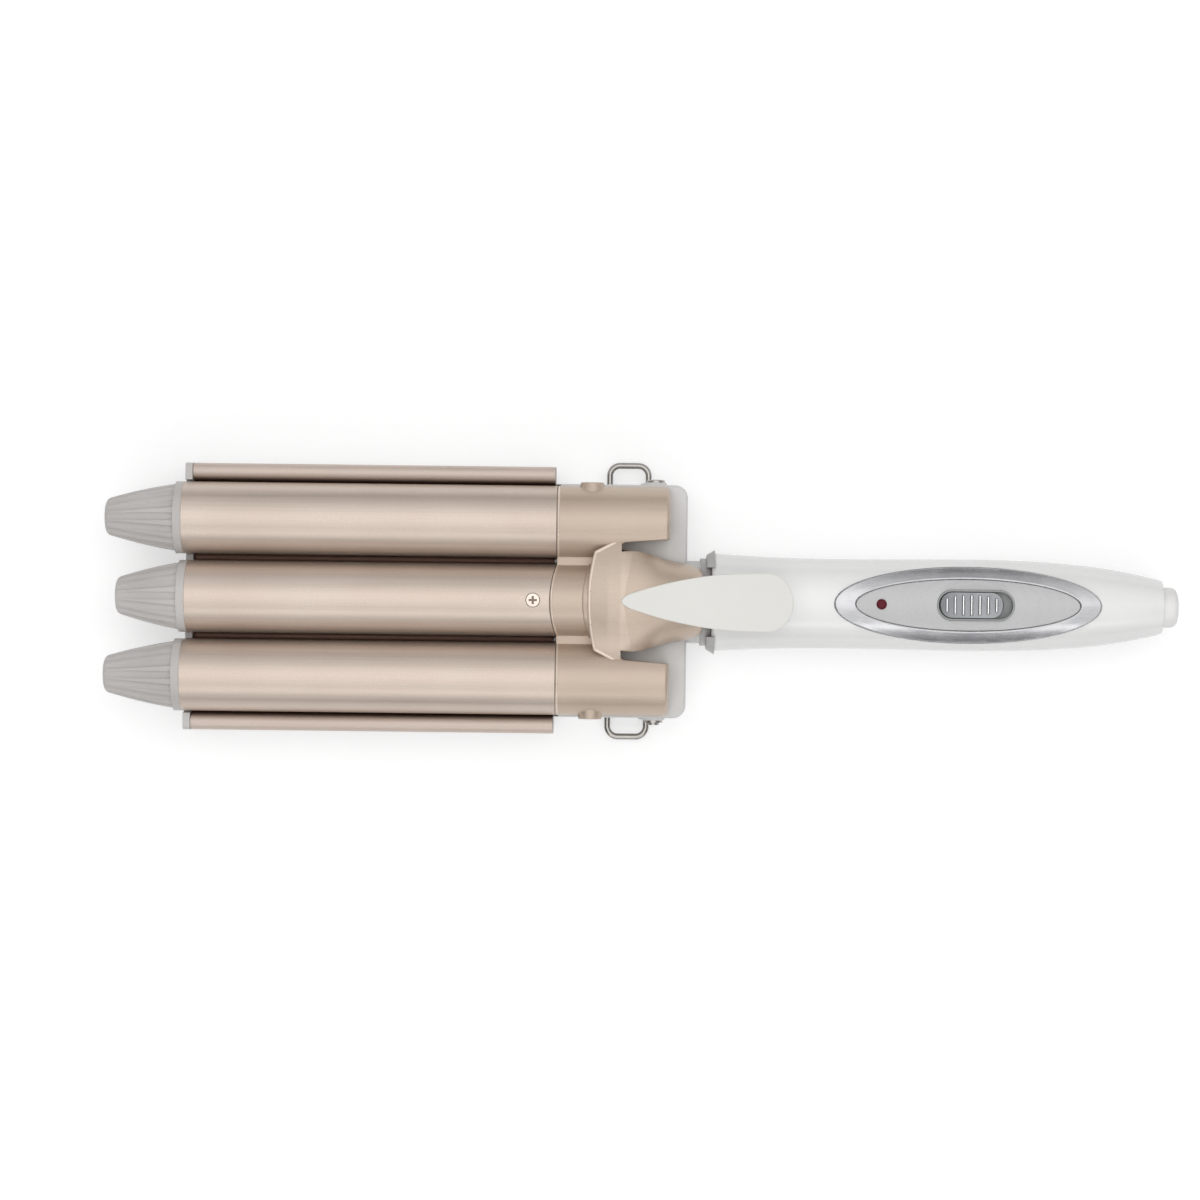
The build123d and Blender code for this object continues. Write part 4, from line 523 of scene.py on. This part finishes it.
def straight_route(start, end, steps=24):
    """Evenly spaced points from start to end."""
    return [tuple(a + (b - a) * step / steps for a, b in zip(start, end)) for step in range(steps + 1)]


# On the raised rims the lacquer is painted lighter as a highlight line, and it is glossier.
highlight_lacquer = lacquer(
    "lacquer_painted_light_on_a_rim", dark="e2d0bf", light="eedfd0",
    metallic=0.35, rough=0.3, stretch=0.2, coat=0.2,
)

# The front of the dome is painted a little lighter than the housing, a painted highlight where light
# catches it, and it is a little smoother.
lit_dome_lacquer = lacquer(
    "lacquer_painted_lighter_on_the_dome", dark="c8b6a6", light="d5c4b3",
    metallic=0.45, rough=0.36, stretch=0.06, coat=0.2, edge_mm=0.5,
)

# The collar line where the housing grips the barrels: one bead round each tube, straight across
# the outer two and bowed towards the tips on the centre one.
collar_x = -0.0294
collar_bow = 0.0022
collar_bow_radius = 0.0366
collar_half_turn = 72
collar_steps = 60
collar_bead_radius = 0.0004
collar_bead_sink = 0.0002

collar_routes = {"left": [], "right": []}
for side, middle_y in (("left", barrel_pitch), ("right", -barrel_pitch)):
    for step in range(collar_steps + 1):
        turn = math.radians(collar_half_turn * (2 * step / collar_steps - 1))
        collar_routes[side].append((collar_x, middle_y + barrel_radius * math.sin(turn)))
centre_half_width = 0.95 * barrel_radius
collar_routes["centre"] = arc_route(collar_x - collar_bow, collar_bow_radius, centre_half_width)
# The collar beads take the lacquer that is painted lighter as a highlight line.
for side, route in collar_routes.items():
    line = [(x, y, housing_height(x, y) - collar_bead_sink) for x, y in route]
    moulded_bead(f"collar_bead_{side}", line, collar_bead_radius, highlight_lacquer)

# The hood is the front of the dome: a raised shell whose front edge is an arc and a diagonal to
# each side notch, and which sinks into the housing's own dome a little way behind the notches.
rim_front_x = -0.0185
rim_bow_radius = 0.066
rim_corner = (-0.0164, 0.0166)
rim_end = (-0.0077, 0.0212)
rim_bead_radius = 0.0007
rim_bead_sink = 0.0004
notch_half_width = 0.0169
tail_x = -0.0017
tail_sink = 0.0004
# Places along the tool and the height of the hood's ridge there.
ridge_heights = ((-0.0186, 0.0356), (-0.0121, 0.0371), (-0.0076, 0.0379), (-0.0006, 0.0382))
flank_drop = 0.0038
flank_curve = 2.2
# The hood's edge turns down in two short steps, each an offset outwards and a drop, and then a
# skirt goes down into the housing, or to just above its split line in the notches.
edge_turn = ((0.00012, 0.00008), (0.0002, 0.0003))
skirt_offset = 0.0002
skirt_drop = 0.0045
skirt_sink = 0.0005
skirt_foot = 0.0225


def between(pairs, place):
    """The value at a place, read along straight lines between pairs of place and value."""
    for (x0, v0), (x1, v1) in zip(pairs, pairs[1:]):
        if place <= x1:
            return v0 + (v1 - v0) * max(0.0, (place - x0) / (x1 - x0))
    return pairs[-1][1]


def hood_height(x, y):
    """Height of the hood: a ridge along the middle, flanks that fall away, and a tail that sinks."""
    crown = between(ridge_heights, x) - flank_drop * (abs(y) / notch_half_width) ** flank_curve
    fade = min(1.0, max(0.0, (x - rim_end[0]) / (tail_x - rim_end[0])))
    fade = fade * fade * (3 - 2 * fade)
    return crown + (housing_height(x, y) - tail_sink - crown) * fade


def hood_grids():
    """The skin's points, its rows of point numbers in front of the notches and behind them, and
    the point numbers round its edge, clockwise as seen from above."""
    inner_columns, outer_columns, front_rows, rear_rows = 40, 4, 20, 14
    narrowing = notch_half_width / rim_end[1]
    inner_shares = [narrowing * (2 * step / inner_columns - 1) for step in range(inner_columns + 1)]
    wing = (1 - narrowing) / outer_columns
    outer_shares = [narrowing + wing * step for step in range(1, outer_columns + 1)]
    shares = [-share for share in reversed(outer_shares)] + inner_shares + outer_shares
    points, front = [], []
    for row in range(front_rows + 1):
        along = row / front_rows
        end_x = rim_corner[0] + (rim_end[0] - rim_corner[0]) * along
        middle_x = rim_front_x + (rim_end[0] - rim_front_x) * along
        width = rim_corner[1] + (rim_end[1] - rim_corner[1]) * along
        front.append([])
        for share in shares:
            x = middle_x + (end_x - middle_x) * share * share
            front[-1].append(len(points))
            points.append((x, width * share, hood_height(x, width * share)))
    rear = [front[-1][outer_columns:-outer_columns]]
    for row in range(1, rear_rows + 1):
        x = rim_end[0] + (tail_x - rim_end[0]) * row / rear_rows
        rear.append([])
        for share in inner_shares:
            rear[-1].append(len(points))
            points.append((x, rim_end[1] * share, hood_height(x, rim_end[1] * share)))
    edge = front[0] + [row[-1] for row in front[1:]] + front[-1][-2 : -outer_columns - 2 : -1]
    edge += [row[-1] for row in rear[1:]] + rear[-1][-2::-1] + [row[0] for row in rear[-2:0:-1]]
    edge += front[-1][outer_columns::-1] + [row[0] for row in front[-2:0:-1]]
    return points, (front, rear), edge


def dome_hood():
    """The hood's closed mesh: its skin, the rounded turn at its edge, its skirt and its underside."""
    points, patches, edge = hood_grids()
    faces = []
    for patch in patches:
        for row, after in zip(patch, patch[1:]):
            for column in range(len(row) - 1):
                faces.append((row[column], after[column], after[column + 1], row[column + 1]))
    inner = edge
    for out, drop in (*edge_turn, (skirt_offset, skirt_drop)):
        ring = []
        for index, corner in enumerate(edge):
            before = Vector(points[edge[index - 1]][:2])
            after = Vector(points[edge[(index + 1) % len(edge)]][:2])
            way = (after - before).normalized()
            x, y, z = points[corner]
            x, y, z = x - way.y * out, y + way.x * out, z - drop
            if drop == skirt_drop:
                z = max(min(z, housing_height(x, y) - skirt_sink), skirt_foot)
            ring.append(len(points))
            points.append((x, y, z))
        for index in range(len(edge)):
            after = (index + 1) % len(edge)
            faces.append((inner[index], inner[after], ring[after], ring[index]))
        inner = ring
    faces.append(inner)
    mesh = bpy.data.meshes.new("dome_hood")
    mesh.from_pydata(points, [], faces)
    mesh.validate()
    for face in mesh.polygons:
        face.use_smooth = True
    hood = bpy.data.objects.new("dome_hood", mesh)
    bpy.context.scene.collection.objects.link(hood)
    # The hood is painted lighter than the housing as a highlight.
    mesh.materials.append(lit_dome_lacquer)
    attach(hood, "upper_jaw")


dome_hood()

rim_route = straight_route((rim_end[0], -rim_end[1]), (rim_corner[0], -rim_corner[1]))
rim_route += arc_route(rim_front_x, rim_bow_radius, rim_corner[1])[1:-1]
rim_route += straight_route(rim_corner, rim_end)
rim_line = [(x, y, hood_height(x, y) - rim_bead_sink) for x, y in rim_route]
# The rim bead takes the same lacquer, painted lighter as a highlight line.
moulded_bead("dome_rim", rim_line, rim_bead_radius, highlight_lacquer)

# ---------------------------------------------------------------------------------------------
# Floor, light and camera
# ---------------------------------------------------------------------------------------------


floor_size = 8.0
# The floor lies a little below the tool, so that the two don't share a face.
floor_gap = 0.0002
# What the paper's own glow adds to its lit colour to reach white.
paper_lift = 0.48

# The dome of light: its grey from the horizon to overhead, and its strength.
sky_stops = [(0.0, "585858"), (0.2, "a4a4a4"), (0.55, "dadada"), (0.9, "ffffff")]
sky_strength = 1.14
# Dark flags: the way to each one's middle, the cosine of the angle out to its edge, the softness
# of that edge and the flags' grey.
dark_flags = (((-0.74, -0.22, 0.64), 0.91), ((0.78, -0.2, 0.6), 0.94))
flag_softness = 0.02
flag_grey = "202022"


def pale_floor():
    """Pale seamless paper that takes the object's soft shadow. It is lifted to white where the
    camera, a gloss or a clear part sees it."""
    bpy.ops.mesh.primitive_plane_add(size=floor_size, location=(0.0, 0.0, -floor_gap))
    floor = bpy.context.object
    floor.name = "floor"
    material, tree, out = new_material("seamless_paper")
    place = add(tree, "ShaderNodeTexCoord").outputs["Object"]
    fibres = {"Scale": per(1.2), "Detail": 3.0, "Roughness": 0.6}
    pulp = add(tree, "ShaderNodeTexNoise", fibres, {"Vector": place}).outputs["Fac"]
    stops = {"stops": [(0.3, "d2d2d2"), (0.7, "d6d6d6")]}
    white_pulp = add(tree, "ShaderNodeValToRGB", stops, {"Fac": pulp})
    paper = add(tree, "ShaderNodeBsdfDiffuse", {}, {"Color": white_pulp.outputs["Color"]})
    rays = add(tree, "ShaderNodeLightPath").outputs
    glossy = {0: rays["Is Camera Ray"], 1: rays["Is Glossy Ray"]}
    seen = add(tree, "ShaderNodeMath", {"operation": "MAXIMUM"}, glossy)
    clear = {0: seen.outputs["Value"], 1: rays["Is Transmission Ray"]}
    seen = add(tree, "ShaderNodeMath", {"operation": "MAXIMUM"}, clear)
    share = {"operation": "MULTIPLY", 1: paper_lift}
    lift = add(tree, "ShaderNodeMath", share, {0: seen.outputs["Value"]})
    white = {"Color": linear("ffffff")}
    glow = add(tree, "ShaderNodeEmission", white, {"Strength": lift.outputs["Value"]})
    both = add(tree, "ShaderNodeAddShader", {}, {0: paper.outputs["BSDF"], 1: glow.outputs["Emission"]})
    tree.links.new(both.outputs["Shader"], out.inputs["Surface"])
    floor.data.materials.append(material)


def light_dome():
    """A dome of light, brightest overhead and dim at the horizon, and plain white where the camera
    or a clear part sees it. Beyond each end of the tool it holds a dark flag, which glossy slopes
    that face along the tool mirror."""
    world = bpy.data.worlds.new("studio")
    bpy.context.scene.world = world
    world.use_nodes = True
    sky = world.node_tree
    sky.nodes.clear()
    place = add(sky, "ShaderNodeTexCoord").outputs["Generated"]
    height = add(sky, "ShaderNodeSeparateXYZ", {}, {"Vector": place})
    shade = add(sky, "ShaderNodeValToRGB", {"stops": sky_stops}, {"Fac": height.outputs["Z"]})
    shade = shade.outputs["Color"]
    for flag, reach in dark_flags:
        facing = {"operation": "DOT_PRODUCT", 1: flag}
        near = add(sky, "ShaderNodeVectorMath", facing, {0: place})
        edge = {"From Min": reach - flag_softness, "From Max": reach + flag_softness}
        cover = add(sky, "ShaderNodeMapRange", edge, {"Value": near.outputs["Value"]})
        shade = add(
            sky,
            "ShaderNodeMix",
            {"data_type": "RGBA", "B": linear(flag_grey)},
            {"Factor": cover.outputs["Result"], "A": shade},
        ).outputs["Result"]
    rays = add(sky, "ShaderNodeLightPath").outputs
    clear = {0: rays["Is Camera Ray"], 1: rays["Is Transmission Ray"]}
    seen = add(sky, "ShaderNodeMath", {"operation": "MAXIMUM"}, clear).outputs["Value"]
    white = {"data_type": "RGBA", "B": linear("ffffff")}
    colour = add(sky, "ShaderNodeMix", white, {"Factor": seen, "A": shade})
    strength = {"To Min": sky_strength, "To Max": 1.0}
    level = add(sky, "ShaderNodeMapRange", strength, {"Value": seen})
    backdrop = add(
        sky,
        "ShaderNodeBackground",
        {},
        {"Color": colour.outputs["Result"], "Strength": level.outputs["Result"]},
    )
    add(sky, "ShaderNodeOutputWorld", {}, {"Surface": backdrop.outputs["Background"]})


def softbox(name, place, width, depth, watts):
    """A soft rectangular studio lamp that faces the middle of the tool."""
    lamp = bpy.data.lights.new(name, "AREA")
    lamp.shape = "RECTANGLE"
    lamp.size, lamp.size_y = width, depth
    lamp.energy = watts
    holder = bpy.data.objects.new(name, lamp)
    bpy.context.scene.collection.objects.link(holder)
    holder.location = place
    holder.rotation_euler = (-Vector(place)).to_track_quat("-Z", "Y").to_euler()


pale_floor()
light_dome()
softbox("strip_lamp", place=(0.0, -1.1, 0.95), width=1.8, depth=0.3, watts=2.3)
softbox("overhead_softbox", place=(-0.1, 0.14, 1.6), width=1.6, depth=1.1, watts=2.9)

# The camera looks straight down on the tool, turned a fraction of a degree.
camera_place = (-0.01485, 0.0003, 1.064)
camera_turn = math.radians(0.69)
half_view = math.radians(22.6) / 2
camera = bpy.data.objects.new("camera", bpy.data.cameras.new("camera"))
bpy.context.scene.collection.objects.link(camera)
camera.data.sensor_width = 36.0
camera.data.lens = camera.data.sensor_width / 2 / math.tan(half_view)
camera.location = camera_place
camera.rotation_euler = (0.0, 0.0, camera_turn)
bpy.context.scene.camera = camera
bpy.context.scene.view_settings.view_transform = "Standard"
